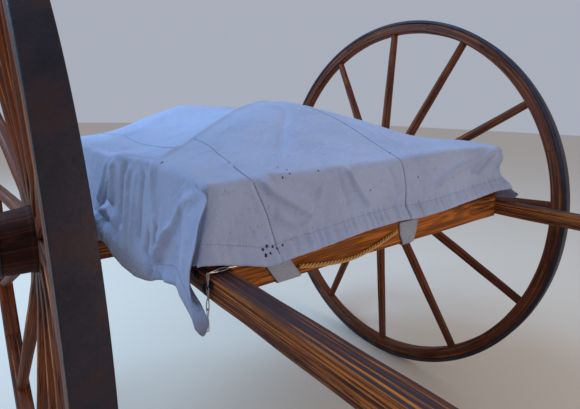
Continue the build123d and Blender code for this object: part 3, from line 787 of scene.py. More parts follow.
class CART_OT_wheels(CartOperator):
    """Both wheels: tyre, felloes, spokes, turned nave, its bands and the hub box"""
    bl_idname = "cart.wheels"
    bl_label = "Wheels"

    def execute(self, context):
        """Make each kind of piece for each side, from the sections of the turned ones."""
        half, inner, outer = TYRE_WIDTH / 2, NAVE_INNER, NAVE_OUTER
        belly = NAVE_RADIUS + 0.001
        tyre = [(-half, FELLOE_OUTER), (half, FELLOE_OUTER), (half, WHEEL_RADIUS - TYRE_DROP),
                (-half, WHEEL_RADIUS)]
        nave = [(inner, NAVE_BORE), (inner, 0.066), (inner + 0.032, 0.067), (inner + 0.042, 0.080),
                (-DISH - 0.029, belly), (-DISH + 0.029, belly), (-DISH + 0.036, 0.0815),
                (outer - 0.075, 0.0785), (outer - 0.053, 0.074), (outer, 0.0738), (outer, NAVE_BORE)]
        bands = (rectangle(inner, inner + 0.030, 0.066, 0.0702),
                 rectangle(outer - 0.052, outer - 0.002, 0.074, 0.0782))
        box = rectangle(inner, outer, 0.0241, NAVE_BORE)
        for name, side in SIDES:
            self.turned(name, side, "Tyre", "Tyre iron", "tyre_iron", [tyre], 0.0025, 220)
            self.felloes(name, side)
            self.spokes(name, side)
            self.turned(name, side, "Nave", "Nave timber", "wheel_wood", [nave], 0.0022, 120)
            self.turned(name, side, "Nave_bands", "Forged iron", "forged_iron", bands, 0.0016, 120)
            self.turned(name, side, "Hub_box", "Forged iron", "forged_iron", [box], 0.001, 96)
        return {"FINISHED"}

    def finish(self, surface, name, part, look, slot):
        """Finish one kind of piece, which stands for the wheel's node of that name."""
        body = f"wheel_{name}"
        surface.finish(f"{part}_{name}", look, body, slot, f"{body}_{part.lower()}")

    def turned(self, name, side, part, look, slot, sections, rounding, count):
        """Each section, with its corners rounded, turned about the arm."""
        surface = Surface()
        for section in sections:
            surface.grid(wheel_place(side, turned(closed_profile(section, rounding), count)))
        self.finish(surface, name, part, look, slot)

    def felloes(self, name, side):
        """Six arcs of a rounded rectangle with a seeded unevenness, and a gap at each joint."""
        half, first_joint, gap, wave_height = 0.0215, 45, 0.0006 / FELLOE_OUTER, 0.0006
        section = rectangle(-half, half, FELLOE_INNER, FELLOE_OUTER - 0.0002)
        x, radius = closed_profile(section, 0.006, 5)[:-1].T
        surface = Surface()
        for index in range(6):
            start = math.radians(first_joint + 60 * index)
            angle = np.linspace(start + gap, start + math.pi / 3 - gap, 64)[:, None]
            wave = ripple(20 + index, angle * 0.7, np.arange(len(x)) / len(x), 3.0, 2.0) * wave_height
            away = radius + wave
            ring = np.stack([x * (1 + wave * 20), away * np.sin(angle), away * np.cos(angle)], -1)
            surface.grid(wheel_place(side, closed(ring)))
        self.finish(surface, name, "Felloes", "Wheel timber", "wheel_wood")

    def spokes(self, name, side):
        """Twelve spokes, each a rounded rectangle that tapers from a square foot to an oval tongue and
        leans outward to the rim."""
        foot_end, rim = NAVE_RADIUS + 0.12, FELLOE_INNER + 0.001
        foot = np.linspace(NAVE_RADIUS - 0.004, foot_end, 16)
        radius = np.concatenate([foot, np.linspace(foot_end + 0.015, rim, 36)])
        share = (radius - NAVE_RADIUS) / (FELLOE_INNER - NAVE_RADIUS)
        oval = smooth_step((radius - NAVE_RADIUS - 0.02) / 0.09)
        width = 0.044 - 0.010 * oval - 0.006 * share
        depth = 0.048 - 0.006 * oval - 0.011 * share
        corner = 0.004 + 0.009 * oval
        path = np.stack([-DISH * (1 - share), 0 * radius, radius], 1)
        surface = Surface()
        for index in range(12):
            points, wear_and_shade = beam(path, (0, 1, 0), (1, 0, 0), width, depth, corner, 40 + index, 0.0005, 7)
            c, s = math.cos(math.pi * index / 6), math.sin(math.pi * index / 6)
            x, y, z = np.moveaxis(points, -1, 0)
            points = np.stack([x, y * c + z * s, z * c - y * s], -1)
            surface.grid(wheel_place(side, points), wear_and_shade=wear_and_shade * 0.5)
        self.finish(surface, name, "Spokes", "Wheel timber", "wheel_wood")


# Shaft outline: y, middle x, width, height, edge radius
SHAFT_LINE = (
    (0.700, 0.496, 0.040, 0.042, 0.005),
    (-1.450, 0.496, 0.040, 0.042, 0.005),
    (-1.540, 0.491, 0.040, 0.042, 0.005),
    (-1.660, 0.475, 0.039, 0.041, 0.006),
    (-2.395, 0.352, 0.033, 0.033, 0.015),
    (-2.420, 0.350, 0.036, 0.036, 0.0178),
    (-2.550, 0.350, 0.036, 0.036, 0.0178),
    (-2.560, 0.350, 0.024, 0.024, 0.0118),
)
SHAFT_MIDDLE_Z = 0.806
SHAFT_TOP = 0.827
SHAFT_INNER_X = 0.476
BEAM_TOP_Z = 0.844
BOX_X, BOX_Y, BOX_TOP_Z = 0.512, 0.612, 0.968
BOARD = 0.022


class CART_OT_frame(CartOperator):
    """Shafts, cross beams, bearers, axle bed and box boards"""
    bl_idname = "cart.frame"
    bl_label = "Frame timbers"

    def execute(self, context):
        """Each timber is a rounded rectangle swept along its length."""
        self.shafts()
        # name, look, the timbers' y, half width, bottom, edge radius, seed, unevenness, spacing of points
        for name, look, places, half, low, radius, seed, rough, step in (
            ("Cross_beams", "Beam timber", (-0.596, 0.582), 0.030, 0.780, 0.005, 70, 0.0006, 0.008),
            ("Floor_bearers", "Frame timber", (-0.3, 0.0, 0.3), 0.025, 0.794, 0.003, 80, 0.0005, 0.02),
        ):
            surface = Surface()
            for index, y in enumerate(places):
                corners = (-SHAFT_INNER_X, y - half, low), (SHAFT_INNER_X, y + half, BEAM_TOP_Z)
                box_timber(surface, *corners, 0, radius, seed + index, rough, step)
            surface.finish(name, look, "cart", "frame_wood", name.lower())
        self.bed()
        self.boards()
        return {"FINISHED"}

    def shafts(self):
        """Both shafts, with closer points where the section changes at the tail."""
        line = np.array(SHAFT_LINE)
        along = np.concatenate([np.arange(-2.56, 0.70, 0.008), line[:, 0], [0.697, 0.6985]])
        along = np.unique(along)[::-1]
        middle, width, height, radius = at_lengths(along, line[::-1, 0], line[::-1, 1:]).T
        for name, side in SIDES:
            path = np.stack([side * middle, along, np.full(len(along), SHAFT_MIDDLE_Z)], 1)
            points, wear_and_shade = beam(path, (1, 0, 0), (0, 0, 1), width, height, radius, 60 + side, 0.0007, 8)
            surface = Surface()
            surface.grid(points, wear_and_shade=wear_and_shade)
            surface.finish(f"Shaft_{name}", "Frame timber", "cart", "frame_wood", f"shaft_{name}")

    def bed(self):
        """Axle bed: a U-shaped section, open above for the iron, swept across the cart. Strips that join
        the U's outer line to its inner line close its ends."""
        half, low, top, middle_z, groove, floor = 0.048, 0.688, 0.785, 0.735, 0.0202, 0.744
        outline = closed_profile([
            (-half, low), (half, low), (half, top), (groove, top), (groove, floor), (-groove, floor),
            (-groove, top), (-half, top),
        ], 0.006, 5)[:-1]
        end = np.array([0.543, 0.5428, 0.541])
        x = np.concatenate([-end, np.linspace(-0.535, 0.535, 90), end[::-1]])[:, None]
        ease = 1 - 0.03 * np.clip((np.abs(x) - 0.5405) / 0.0025, 0, 1)
        wave = ripple(91, x, np.arange(len(outline)) / len(outline), 4.0, 2.0) * 0.0006
        y = outline[:, 0] * ease * (1 + wave * 12)
        z = (outline[:, 1] - middle_z) * ease + middle_z + wave * 0.5
        ring = np.stack([np.broadcast_to(x, y.shape), y, np.minimum(z, top)], -1)
        surface = Surface()
        surface.grid(np.concatenate([ring, ring[:, :1]], 1))
        count = len(outline) // 2
        for row in (ring[0], ring[-1]):
            surface.grid(np.stack([row[:count], row[:count - 1:-1]]))
        surface.finish("Axle_bed", "Frame timber", "cart", "frame_wood", "axle_bed")

    def boards(self):
        """Six floor boards with a gap between them, and the box's four boards."""
        inside, end = BOX_X - BOARD, BOX_Y - BOARD
        floor = Surface()
        pitch, gap = inside / 3, 0.004
        for index in range(6):
            low = -inside + index * pitch + gap / 2
            corners = (low, -end, BEAM_TOP_Z), (low + pitch - gap, end, BEAM_TOP_Z + BOARD)
            box_timber(floor, *corners, 1, 0.002, 100 + index, 0.0004, 0.03)
        floor.finish("Floor_boards", "Box boards", "cart", "box_wood", "floor_boards")
        # name, low corner, high corner, grain axis
        for index, (name, low, high, axis) in enumerate((
            ("Box_front", (-inside, -BOX_Y, BEAM_TOP_Z), (inside, -end, BOX_TOP_Z), 0),
            ("Box_tailboard", (-inside, end, BEAM_TOP_Z), (inside, BOX_Y, BOX_TOP_Z), 0),
            ("Box_side_left", (inside, -BOX_Y, SHAFT_TOP), (BOX_X, BOX_Y, BOX_TOP_Z), 1),
            ("Box_side_right", (-BOX_X, -BOX_Y, SHAFT_TOP), (-inside, BOX_Y, BOX_TOP_Z), 1),
        )):
            surface = Surface()
            box_timber(surface, low, high, axis, 0.003, 110 + index, 0.0004)
            surface.finish(name, "Box boards", "cart", "box_wood", name.lower())


# Cover. Heights of its top: x, y, z
TOP_POINTS = np.array([
    (-0.517, -0.617, 0.972), (-0.414, -0.617, 0.977), (-0.300, -0.617, 0.979), (-0.196, -0.617, 0.981),
    (-0.042, -0.617, 0.986), (0.060, -0.617, 0.992), (0.155, -0.617, 0.998), (0.350, -0.617, 1.001),
    (0.517, -0.617, 0.998), (-0.517, -0.514, 0.981), (-0.517, -0.424, 0.984), (-0.517, -0.378, 0.990),
    (-0.517, -0.294, 0.986), (-0.517, -0.171, 0.985), (-0.517, -0.068, 0.974), (-0.517, 0.100, 0.974),
    (-0.517, 0.300, 0.974), (-0.517, 0.617, 0.972), (-0.470, -0.300, 0.984), (-0.470, -0.180, 0.975),
    (0.517, -0.300, 0.988), (0.517, 0.000, 0.988), (0.517, 0.300, 0.985), (0.517, 0.617, 0.980),
    (-0.410, 0.617, 0.972), (-0.300, 0.617, 0.976), (0.0, 0.617, 0.985), (0.300, 0.617, 0.985),
    (0.0, -0.050, 1.124), (-0.065, -0.093, 1.120), (-0.171, -0.163, 1.100), (-0.240, -0.209, 1.085),
    (-0.327, -0.266, 1.050), (-0.396, -0.312, 1.026), (-0.462, -0.356, 1.001),
    (0.033, -0.086, 1.125), (0.076, -0.131, 1.113), (0.116, -0.174, 1.103), (0.209, -0.273, 1.071),
    (0.278, -0.347, 1.040), (0.328, -0.400, 1.022), (0.368, -0.443, 1.016), (0.435, -0.514, 1.012),
    (-0.032, 0.380, 1.106), (-0.097, 0.380, 1.111), (-0.139, 0.380, 1.108), (-0.179, 0.380, 1.095),
    (-0.257, 0.380, 1.062), (-0.330, 0.380, 1.026), (-0.398, 0.380, 0.998), (-0.463, 0.380, 0.976),
    (0.070, 0.443, 1.088), (-0.120, 0.160, 1.078), (0.250, 0.250, 1.050), (0.250, -0.050, 1.065),
    (-0.250, 0.050, 1.035),
])

# Hem heights along the front (x, z), along the right and the left side (y, z), and behind (z)
FRONT_HEM = np.array([
    (-0.515, 0.848), (-0.471, 0.838), (-0.444, 0.831), (-0.419, 0.823), (-0.401, 0.822), (-0.362, 0.826),
    (-0.297, 0.830), (-0.219, 0.837), (-0.142, 0.843), (-0.035, 0.846), (0.044, 0.842), (0.140, 0.845),
    (0.296, 0.856), (0.437, 0.866), (0.531, 0.873),
])
RIGHT_HEM = np.array([
    (-0.610, 0.742), (-0.590, 0.745), (-0.573, 0.756), (-0.556, 0.772), (-0.540, 0.783), (-0.516, 0.784),
    (-0.450, 0.766), (-0.420, 0.753), (-0.333, 0.736), (-0.251, 0.733), (-0.156, 0.737), (-0.127, 0.747),
    (0.060, 0.744), (0.090, 0.770), (0.140, 0.798), (0.617, 0.800),
])
LEFT_HEM = np.array([
    (-0.620, 0.858), (-0.606, 0.832), (-0.560, 0.829), (-0.480, 0.834), (-0.400, 0.864), (0.620, 0.868),
])
REAR_HEM = 0.850

# Pleat at the right front corner. First its outer edge (z, y), then where it starts, counted round the
# box from the corner, and its length. The others go by the share of the way through the folded cloth:
# how far it stands out, how far it lies back from the outer edge, how far the flap under the shaft
# turns ahead, and the hem's height
PLEAT_EDGE = np.array([
    (0.735, -0.650), (0.750, -0.648), (0.765, -0.643), (0.780, -0.630), (0.795, -0.620), (0.812, -0.612),
    (0.832, -0.609), (0.850, -0.613), (0.872, -0.621), (0.895, -0.626), (0.920, -0.630), (0.945, -0.632),
    (0.957, -0.629), (0.968, -0.620),
])
PLEAT_START, PLEAT_LENGTH = -0.075, 0.056
PLEAT_STEPS = np.array([0.0, 0.15, 0.50, 0.56, 0.62, 0.80, 0.86, 0.93, 1.0])
PLEAT_OUT = np.array([0.0, 0.007, 0.012, 0.013, 0.012, 0.008, 0.006, 0.004, 0.0])
PLEAT_BACK = np.array([0.0, 0.0, 0.0, 0.0, 0.008, 0.030, 0.034, 0.026, 0.0])
FLAP_TURN = np.array([0.0, 0.0, 0.0, 0.0, 0.4, 1.0, 1.0, 0.5, 0.0])
PLEAT_HEM = np.array([0.0, 0.0, 0.0, 0.743, 0.742, 0.763, 0.790, 0.814, 0.836])
# How far the slack cloth at that corner goes out along X and back along Y, per metre below the top
CORNER_SLACK = (-0.13, 0.08)
# Heights where the fold, the corner's slack and the turned flap begin, and how far the flap goes ahead
PLEAT_TOP, CORNER_TOP, FLAP_TOP, FLAP_AHEAD = 0.970, 0.966, 0.800, 0.050
# Rounding of the cover's corners, and its half width and half length at the box's top
CORNER_ROUND = 0.024
COVER_X, COVER_Y = 0.518, 0.618
# Faces that hold the cloth's middle out: half sizes and top height, of the boards and of the front beam
BOARD_X, BOARD_Y, BOARD_TOP = 0.5140, 0.6140, 0.968
BEAM_X, BEAM_Y, BEAM_TOP = 0.480, 0.6290, 0.846
HEM_WIDTH = 0.034

# Folds as lines on the flat cloth, that is the top's x and y with the skirts laid outward, in millimetres:
# height of the fold, half width at its start, half width at its end, then the line's points
FOLDS = (
    (9, 22, 8, (0, -60), (-170, -170), (-330, -265), (-470, -360), (-525, -395)),
    (9, 12, 18, (-500, -385), (-560, -395), (-610, -415), (-660, -450)),
    (9, 4, 16, (-520, -562), (-558, -540), (-600, -512), (-650, -476), (-700, -440)),
    (-19, 5, 9, (-618, -440), (-662, -424), (-695, -427), (-712, -458), (-722, -505)),
    (11, 6, 7, (-606, -505), (-655, -464), (-690, -452), (-706, -484), (-714, -540)),
    (-13, 5, 8, (-650, -389), (-701, -380), (-735, -425)),
    (-19, 7, 12, (-530, -92), (-581, -88), (-633, -45), (-700, -8)),
    (14, 8, 14, (-520, -118), (-568, -122), (-640, -132)),
    (8, 8, 9, (-524, -50), (-580, -36), (-650, 10)),
    (-12, 6, 12, (-526, -226), (-561, -185), (-605, -190), (-690, -200)),
    (9, 8, 12, (-522, -262), (-560, -240), (-640, -245), (-730, -260)),
    (-9, 8, 14, (-530, -330), (-600, -325), (-700, -330)),
    (5, 6, 10, (-530, -292), (-600, -280), (-700, -290)),
    (17, 8, 8, (-676, -20), (-655, -70), (-652, -128), (-670, -172), (-696, -190)),
    (-16, 6, 7, (-700, -30), (-684, -85), (-690, -140), (-715, -170)),
    (9, 7, 8, (-716, -60), (-712, -110), (-740, -128)),
    (-10, 12, 9, (-470, -215), (-500, -330), (-512, -408)),
    (5, 8, 8, (-512, -60), (-512, -300), (-514, -420)),
    (5, 8, 10, (-516, 228), (-488, 110), (-456, -22)),
    (-5, 5, 7, (-500, 228), (-474, 112), (-444, -16)),
    (-6, 5, 8, (-469, -130), (-440, -250), (-428, -345)),
    (-5, 8, 6, (-520, 150), (-500, 60), (-480, -60)),
    (4, 6, 6, (-506, 190), (-482, 60), (-470, -40)),
    (6, 18, 14, (-150, 330), (-270, 270), (-370, 225), (-470, 180)),
    (14, 6, 13, (-420, -612), (-395, -638), (-350, -664), (-295, -698)),
    (-10, 8, 18, (-400, -608), (-352, -630), (-270, -660)),
    (8, 8, 14, (-391, -682), (-348, -702), (-300, -700)),
    (11, 5, 10, (-198, -610), (-182, -640), (-150, -682), (-125, -705)),
    (-7, 6, 12, (-225, -608), (-212, -650), (-190, -695)),
    (-5, 8, 14, (-60, -620), (-40, -660), (-20, -700)),
    (14, 7, 11, (492, -608), (363, -641), (197, -673), (121, -702)),
    (13, 5, 8, (488, -609), (415, -638), (354, -662), (308, -684)),
    (-10, 5, 7, (468, -630), (404, -664), (340, -692)),
    (9, 5, 8, (498, -612), (494, -648), (476, -680)),
    (4, 8, 8, (110, -240), (85, -400), (70, -470), (45, -600)),
    (-3, 12, 12, (60, -200), (120, -330), (150, -470), (250, -590)),
    (4, 14, 10, (160, -180), (260, -330), (400, -480), (500, -590)),
    (-3, 14, 14, (-60, -150), (-120, -300), (-230, -430), (-330, -560)),
    (5, 16, 12, (520, -420), (570, -420), (640, -430)),
    (-6, 14, 14, (520, -240), (640, -230)),
    (6, 16, 16, (520, -20), (640, -30)),
    (-6, 14, 16, (520, 260), (640, 250)),
    (6, 14, 14, (-520, 330), (-690, 320)),
    (-6, 12, 16, (-520, 470), (-690, 480)),
    (6, 14, 14, (-300, 620), (-310, 740)),
    (-6, 14, 14, (60, 620), (70, 740)),
    (6, 14, 14, (330, 620), (320, 740)),
)

# Seams where the cover's widths are joined, as lines on the flat cloth, in millimetres
SEAMS = (
    ((-400, 600), (-402, 0), (-405, -333), (-420, -470), (-436, -606), (-421, -639), (-403, -678),
     (-387, -730), (-380, -790)),
    ((0, 600), (4, -400), (-8, -540), (-14, -610), (-2, -645), (4, -680), (0, -790)),
)
# Small worn holes, painted near-black as the shade seen through them, and dark spots on the flat cloth, in
# millimetres: x, y, radius
SPOTS = (
    (-414, -740, 2.6), (-405, -736, 3.2), (-394, -739, 2.4), (-412, -749, 2.8), (-402, -748, 1.9),
    (-385, -744, 1.8), (-352, -582, 1.8), (-342, -599, 2.0), (-344, -612, 1.8), (-361, -617, 2.0),
    (-125, -670, 1.8), (55, -664, 2.2), (217, -687, 1.8), (-6, -578, 2.0), (-274, -613, 1.6),
    (-510, -410, 2.6), (-372, -741, 2.2),
)
# The strip of webbing beside the middle seam: from and to along X
WEBBING = (0.004, 0.047)
STITCH_PITCH = 0.0056


def thin_plate(points, x, y):
    """Height at x, y of the smooth plate through the given points: a plane plus r^2 log r terms."""
    def kernel(ax, ay, bx, by):
        square = (ax[..., None] - bx) ** 2 + (ay[..., None] - by) ** 2 + 1e-12
        return 0.5 * square * np.log(square)

    px, py, pz = points.T
    n = len(points)
    system = np.zeros((n + 3, n + 3))
    system[:n, :n] = kernel(px, py, px, py) + np.eye(n) * 1e-4
    plane = np.stack([np.ones(n), px, py], 1)
    system[:n, n:] = plane
    system[n:, :n] = plane.T
    weights = np.linalg.solve(system, np.concatenate([pz, np.zeros(3)]))
    return kernel(x, y, px, py) @ weights[:n] + weights[n] + weights[n + 1] * x + weights[n + 2] * y


def along_line(flat, line):
    """For flat points and a polyline in millimetres: the nearest distance, its sign by side, and the
    share of the way along."""
    line = np.array(line) / 1000
    lengths = np.linalg.norm(np.diff(line, axis=0), axis=1)
    best = np.full(flat.shape[:-1], np.inf)
    side, share = np.zeros_like(best), np.zeros_like(best)
    before = 0.0
    for a, b, length in zip(line, line[1:], lengths):
        direction = (b - a) / length
        offset = flat - a
        t = np.clip(offset @ direction, 0, length)
        away = np.linalg.norm(offset - t[..., None] * direction, axis=-1)
        closer = away < best
        best = np.where(closer, away, best)
        side = np.where(closer, offset[..., 0] * direction[1] - offset[..., 1] * direction[0], side)
        share = np.where(closer, (before + t) / lengths.sum(), share)
        before += length
    return best, np.sign(side), share


def cover_edge():
    """Columns of the cover: place on the box's edge and outward direction, from the middle of the right
    side round the front. Columns stand closer together at the right front corner, at the front and
    along the right side."""
    corner, w, d = CORNER_ROUND, COVER_X, COVER_Y
    # outward direction, start point, end point, spacing
    runs = (
        ((-1, 0), (-w, 0.0), (-w, 0.09 - d), 0.006),
        ((-1, 0), (-w, 0.09 - d), (-w, corner - d), 0.0022),
        ((0, -1), (corner - w, -d), (0.09 - w, -d), 0.003),
        ((0, -1), (0.09 - w, -d), (w - corner, -d), 0.0038),
        ((1, 0), (w, corner - d), (w, 0.25 - d), 0.008),
        ((1, 0), (w, 0.25 - d), (w, d - corner), 0.020),
        ((0, 1), (w - corner, d), (corner - w, d), 0.020),
        ((-1, 0), (-w, d - corner), (-w, 0.0), 0.010),
    )
    following = [out for out, *_ in runs[1:]] + [None]
    places, normals = [], []
    for (out, start, end, spacing), next_out in zip(runs, following):
        t = np.linspace(0, 1, max(2, int(math.dist(start, end) / spacing)) + 1)[:, None]
        if next_out is not None:
            t = t[:-1]
        places.append(np.array(start) * (1 - t) + np.array(end) * t)
        normals.append(np.broadcast_to(out, (len(t), 2)))
        if next_out not in (None, out):
            angle = np.linspace(0, np.pi / 2, 13)[:-1, None]
            direction = np.cos(angle) * np.array(out) + np.sin(angle) * np.array(next_out)
            places.append(np.array(end) - corner * np.array(out) + corner * direction)
            normals.append(direction)
    return np.concatenate(places), np.concatenate(normals)


def cover_top(edge):
    """The top, as rings from the peak out to the edge: the plate through TOP_POINTS, a seeded unevenness,
    and a drop round the edge. Gives also how far each point lies in from the edge."""
    peak = np.array([0.0, -0.05])
    ring = np.concatenate([np.linspace(0, 0.88, 25, endpoint=False), np.linspace(0.88, 1.0, 13)])
    x, y = np.moveaxis(peak + (edge - peak) * ring[:, None, None], -1, 0)
    inset = np.minimum(COVER_X - np.abs(x), COVER_Y - np.abs(y))
    z = thin_plate(TOP_POINTS, x, y) - 0.006 * (1 - smooth_step(inset / 0.012)) ** 2
    z = z + ripple(7, x, y, 2.2, 2.2) * 0.003 * smooth_step(inset / 0.10)
    return np.stack([x, y, z], -1), inset


def hem_heights(edge, sides, share, before_corner):
    """The hem's height at each column, from the tables, smoothed along the hem."""
    x, y = edge.T
    tables = np.interp(x, *FRONT_HEM.T), np.interp(y, *RIGHT_HEM.T), np.interp(y, *LEFT_HEM.T)
    hem = np.select(sides, tables, REAR_HEM)
    in_pleat = (share > 0.56) & before_corner
    hem = np.where(in_pleat, np.interp(share, PLEAT_STEPS, PLEAT_HEM), hem)
    for _ in range(3):
        hem[1:-1] = (hem[:-2] + 2 * hem[1:-1] + hem[2:]) / 4
    return hem


def cover_skirt(edge, out, edge_z):
    """The skirt, as rows from the edge to the hem, how far each point hangs down and how far it is from
    the hem. It leans out with depth and turns out in the hem band. Seeded waves make it loose, and
    puckers gather the hem. It stands out over the axle bed's end, and at the left front corner it stands
    off and its tail goes ahead. At the right front corner it is folded into the pleat."""
    x, y = edge.T
    along = run_lengths(edge)
    past = along - along[np.argmin(np.hypot(x + COVER_X, y + COVER_Y))]
    share = np.clip((past - PLEAT_START) / PLEAT_LENGTH, 0, 1)
    before_corner = past < 0.001
    not_rear = y < COVER_Y - CORNER_ROUND / 2
    front = (past >= 0) & (y < 0) & (x < COVER_X - 0.007)
    left, right = (~front & half & not_rear for half in (x > 0, x < 0))
    hem = hem_heights(edge, (front, right, left), share, before_corner)
    down = np.linspace(0, 1, 34)[1:, None]
    drop = (edge_z - hem) * down
    z, to_hem = edge_z - drop, edge_z - hem - drop

    # Lean out with depth, and at the front turn out in the hem band
    ahead = smooth_step(-(y + COVER_Y - 0.02) / 0.02)
    band = smooth_step((HEM_WIDTH - to_hem) / 0.02) * (HEM_WIDTH - to_hem)
    reach = 0.085 * drop * (1 - ahead) + ahead * (0.06 * drop + 0.50 * band)
    # Seeded waves, which fade where the first column meets the last and in the pleat's back
    joined = smooth_step(np.minimum(along, along[-1] - along) / 0.05)
    loose = ripple(11, along, drop, 4.0, 1.5) * smooth_step(down / 0.6) * joined
    reach = reach + np.where(left, 0.006, np.where(front | right, 0.0015, 0.009)) * loose
    reach = reach * (1 - smooth_step((share - 0.8) / 0.1) * before_corner)
    # Puckers that gather the hem: 46 to the metre, made uneven
    puckers = 0.8 * np.sin(2 * np.pi * 46 * along + 4 * ripple(13, along, 0, 6.0, 1.0))
    puckers = puckers + ripple(12, along, drop, 30.0, 1.0)
    gathered = np.where(front & (x > -0.38), 0.0026, 0.0009) * (0.3 + 0.7 * smooth_step(to_hem / 0.014))
    gathered = gathered * smooth_step((HEM_WIDTH + 0.012 - to_hem) / 0.02)
    reach = reach + puckers * gathered * joined
    # Out over the axle bed's end, and off the left front corner
    over_bed = smooth_step((0.085 - np.abs(y)) / 0.03) * right * smooth_step((0.815 - z) / 0.025)
    reach = np.maximum(reach, 0.031 * over_bed)
    far_corner = smooth_step(1 - np.hypot(x - COVER_X, y + COVER_Y) / 0.09)
    swell = 0.022 * smooth_step((0.052 - to_hem) / 0.042) + 0.006 * np.exp(-((drop - 0.032) / 0.020) ** 2)
    reach = reach + far_corner * swell

    # The tail at the left front corner goes ahead, and then the right front corner is folded
    moved = edge + out * reach[..., None]
    tail = left * smooth_step((-y - 0.52) / 0.07) * smooth_step((0.872 - z) / 0.025)
    skirt = pleated(moved[..., 0], moved[..., 1] - 0.034 * tail, z, y, past, share)
    return skirt, drop, to_hem


def pleated(x, y, z, edge_y, past, share):
    """The skirt with its right front corner folded. By the share of the way through the pleat, the cloth
    runs ahead to the pleat's outer edge, and back behind it to the box corner. Below the shaft it turns
    ahead as a flap. Past the pleat the corner hangs slack."""
    flap = smooth_step((FLAP_TOP - z) / 0.03) * np.interp(share, PLEAT_STEPS, FLAP_TURN)
    lead = np.interp(share, [0, 0.56], [0, 1])
    tail = np.interp(share, [0.80, 1.0], [0, 1])
    outer = np.interp(z, *PLEAT_EDGE.T)
    target = edge_y * (1 - lead) + outer * lead + np.interp(share, PLEAT_STEPS, PLEAT_BACK)
    target = target * (1 - tail) + edge_y * tail - FLAP_AHEAD * flap
    pull = smooth_step((PLEAT_TOP - z) / 0.016) * ((share > 0) & (share < 1))
    stand_out = np.interp(share, PLEAT_STEPS, PLEAT_OUT) * smooth_step((CORNER_TOP - z) / 0.06)
    slack = smooth_step((share - 0.80) / 0.2) * smooth_step((CORNER_ROUND * 1.57 + 0.055 - past) / 0.055)
    slack = slack * np.clip(CORNER_TOP - z, 0, 0.10)
    x = x + pull * (0.010 * flap - stand_out) + CORNER_SLACK[0] * slack
    y = y * (1 - pull) + target * pull + CORNER_SLACK[1] * slack
    return np.stack([x, y, z], -1)


def fold_lift(flat):
    """How far the cloth stands off at each flat point. A seam adds a flat strip at one side and a groove,
    the webbing a strip, and each fold, across its line, a bell of the given height."""
    lift = 0.0
    for line in SEAMS:
        away, side, _ = along_line(flat, line)
        lift = lift + 0.0011 * smooth_step((0.014 - away) / 0.004) * (side > 0)
        lift = lift - 0.0022 / (1 + (away / 0.003) ** 2) ** 2
    x, y = np.moveaxis(flat, -1, 0)
    strip = smooth_step((x - WEBBING[0]) / 0.002) * smooth_step((WEBBING[1] - x) / 0.002)
    lift = lift + 0.0014 * strip * (y < 0)
    for height, start_half, end_half, *line in FOLDS:
        away, _, share = along_line(flat, line)
        half = (start_half + (end_half - start_half) * share) / 1000
        ends = smooth_step(share / 0.15) * smooth_step((1 - share) / 0.10)
        lift = lift + height / 1000 * ends / (1 + (away / half) ** 2) ** 1.5
    return lift


def off_boards(grid):
    """The cloth with each point that a fold pressed into the boards or the beam moved out to their faces."""
    x, y, z = np.moveaxis(grid, -1, 0)
    inside = (z < BOARD_TOP + 0.002) & (np.abs(x) < BOARD_X) & (np.abs(y) < BOARD_Y)
    ahead = inside & (y < -BOARD_Y + 0.03)
    y = np.where(ahead, -BOARD_Y, y)
    y = np.where((z < BEAM_TOP) & (np.abs(x) < BEAM_X) & (y < 0), np.minimum(y, -BEAM_Y), y)
    x = np.where(inside & ~ahead & (x < -BOARD_X + 0.03), -BOARD_X, x)
    return np.stack([x, y, z], -1)


def cover_grid():
    """The cover's middle surface as a grid (row from the peak out to the hem, column round the box, 3),
    the same points on the flat cloth, where the skirts are laid outward, and how far each is from the
    hem. The folds are added along a direction that turns from upright on the top to outward."""
    edge, out = cover_edge()
    top, inset = cover_top(edge)
    skirt, drop, to_hem = cover_skirt(edge, out, top[-1, :, 2])
    flat = np.concatenate([top[..., :2], edge + out * drop[..., None]])
    turn = smooth_step(1 - inset / 0.03)[..., None]
    outward = np.broadcast_to(np.column_stack([out, np.full(len(out), 0.15)]), skirt.shape)
    up = unit(np.concatenate([np.concatenate([out * turn, 1.2 - turn], -1), outward]))
    lift = fold_lift(flat)
    lift[len(top):] += 0.0012 * smooth_step((HEM_WIDTH + 0.001 - to_hem) / 0.002)
    to_edge = np.concatenate([np.ones(top.shape[:2]), to_hem])
    return off_boards(np.concatenate([top, skirt]) + up * lift[..., None]), flat, to_edge


def on_cloth(grid, flat, wanted):
    """Points of the cloth, and its upright direction there, at the wanted flat places: for each, a flat
    piece is fitted to the grid points around it, weighted by nearness."""
    points, known = grid.reshape(-1, 3), flat.reshape(-1, 2)
    places, uprights = [], []
    for block in np.array_split(wanted, len(wanted) // 60):
        offset = known[None] - block[:, None]
        weight = np.exp(-(offset ** 2).sum(-1) / 0.006 ** 2)
        basis = np.concatenate([np.ones(offset.shape[:2] + (1,)), offset], -1)
        left = np.einsum("nk,nki,nkj->nij", weight, basis, basis) + np.eye(3) * 1e-12
        right = np.einsum("nk,nki,kj->nij", weight, basis, points)
        fit = np.linalg.solve(left, right)
        places.append(fit[:, 0])
        uprights.append(unit(np.cross(fit[:, 1], fit[:, 2])))
    return np.concatenate(places), np.concatenate(uprights)


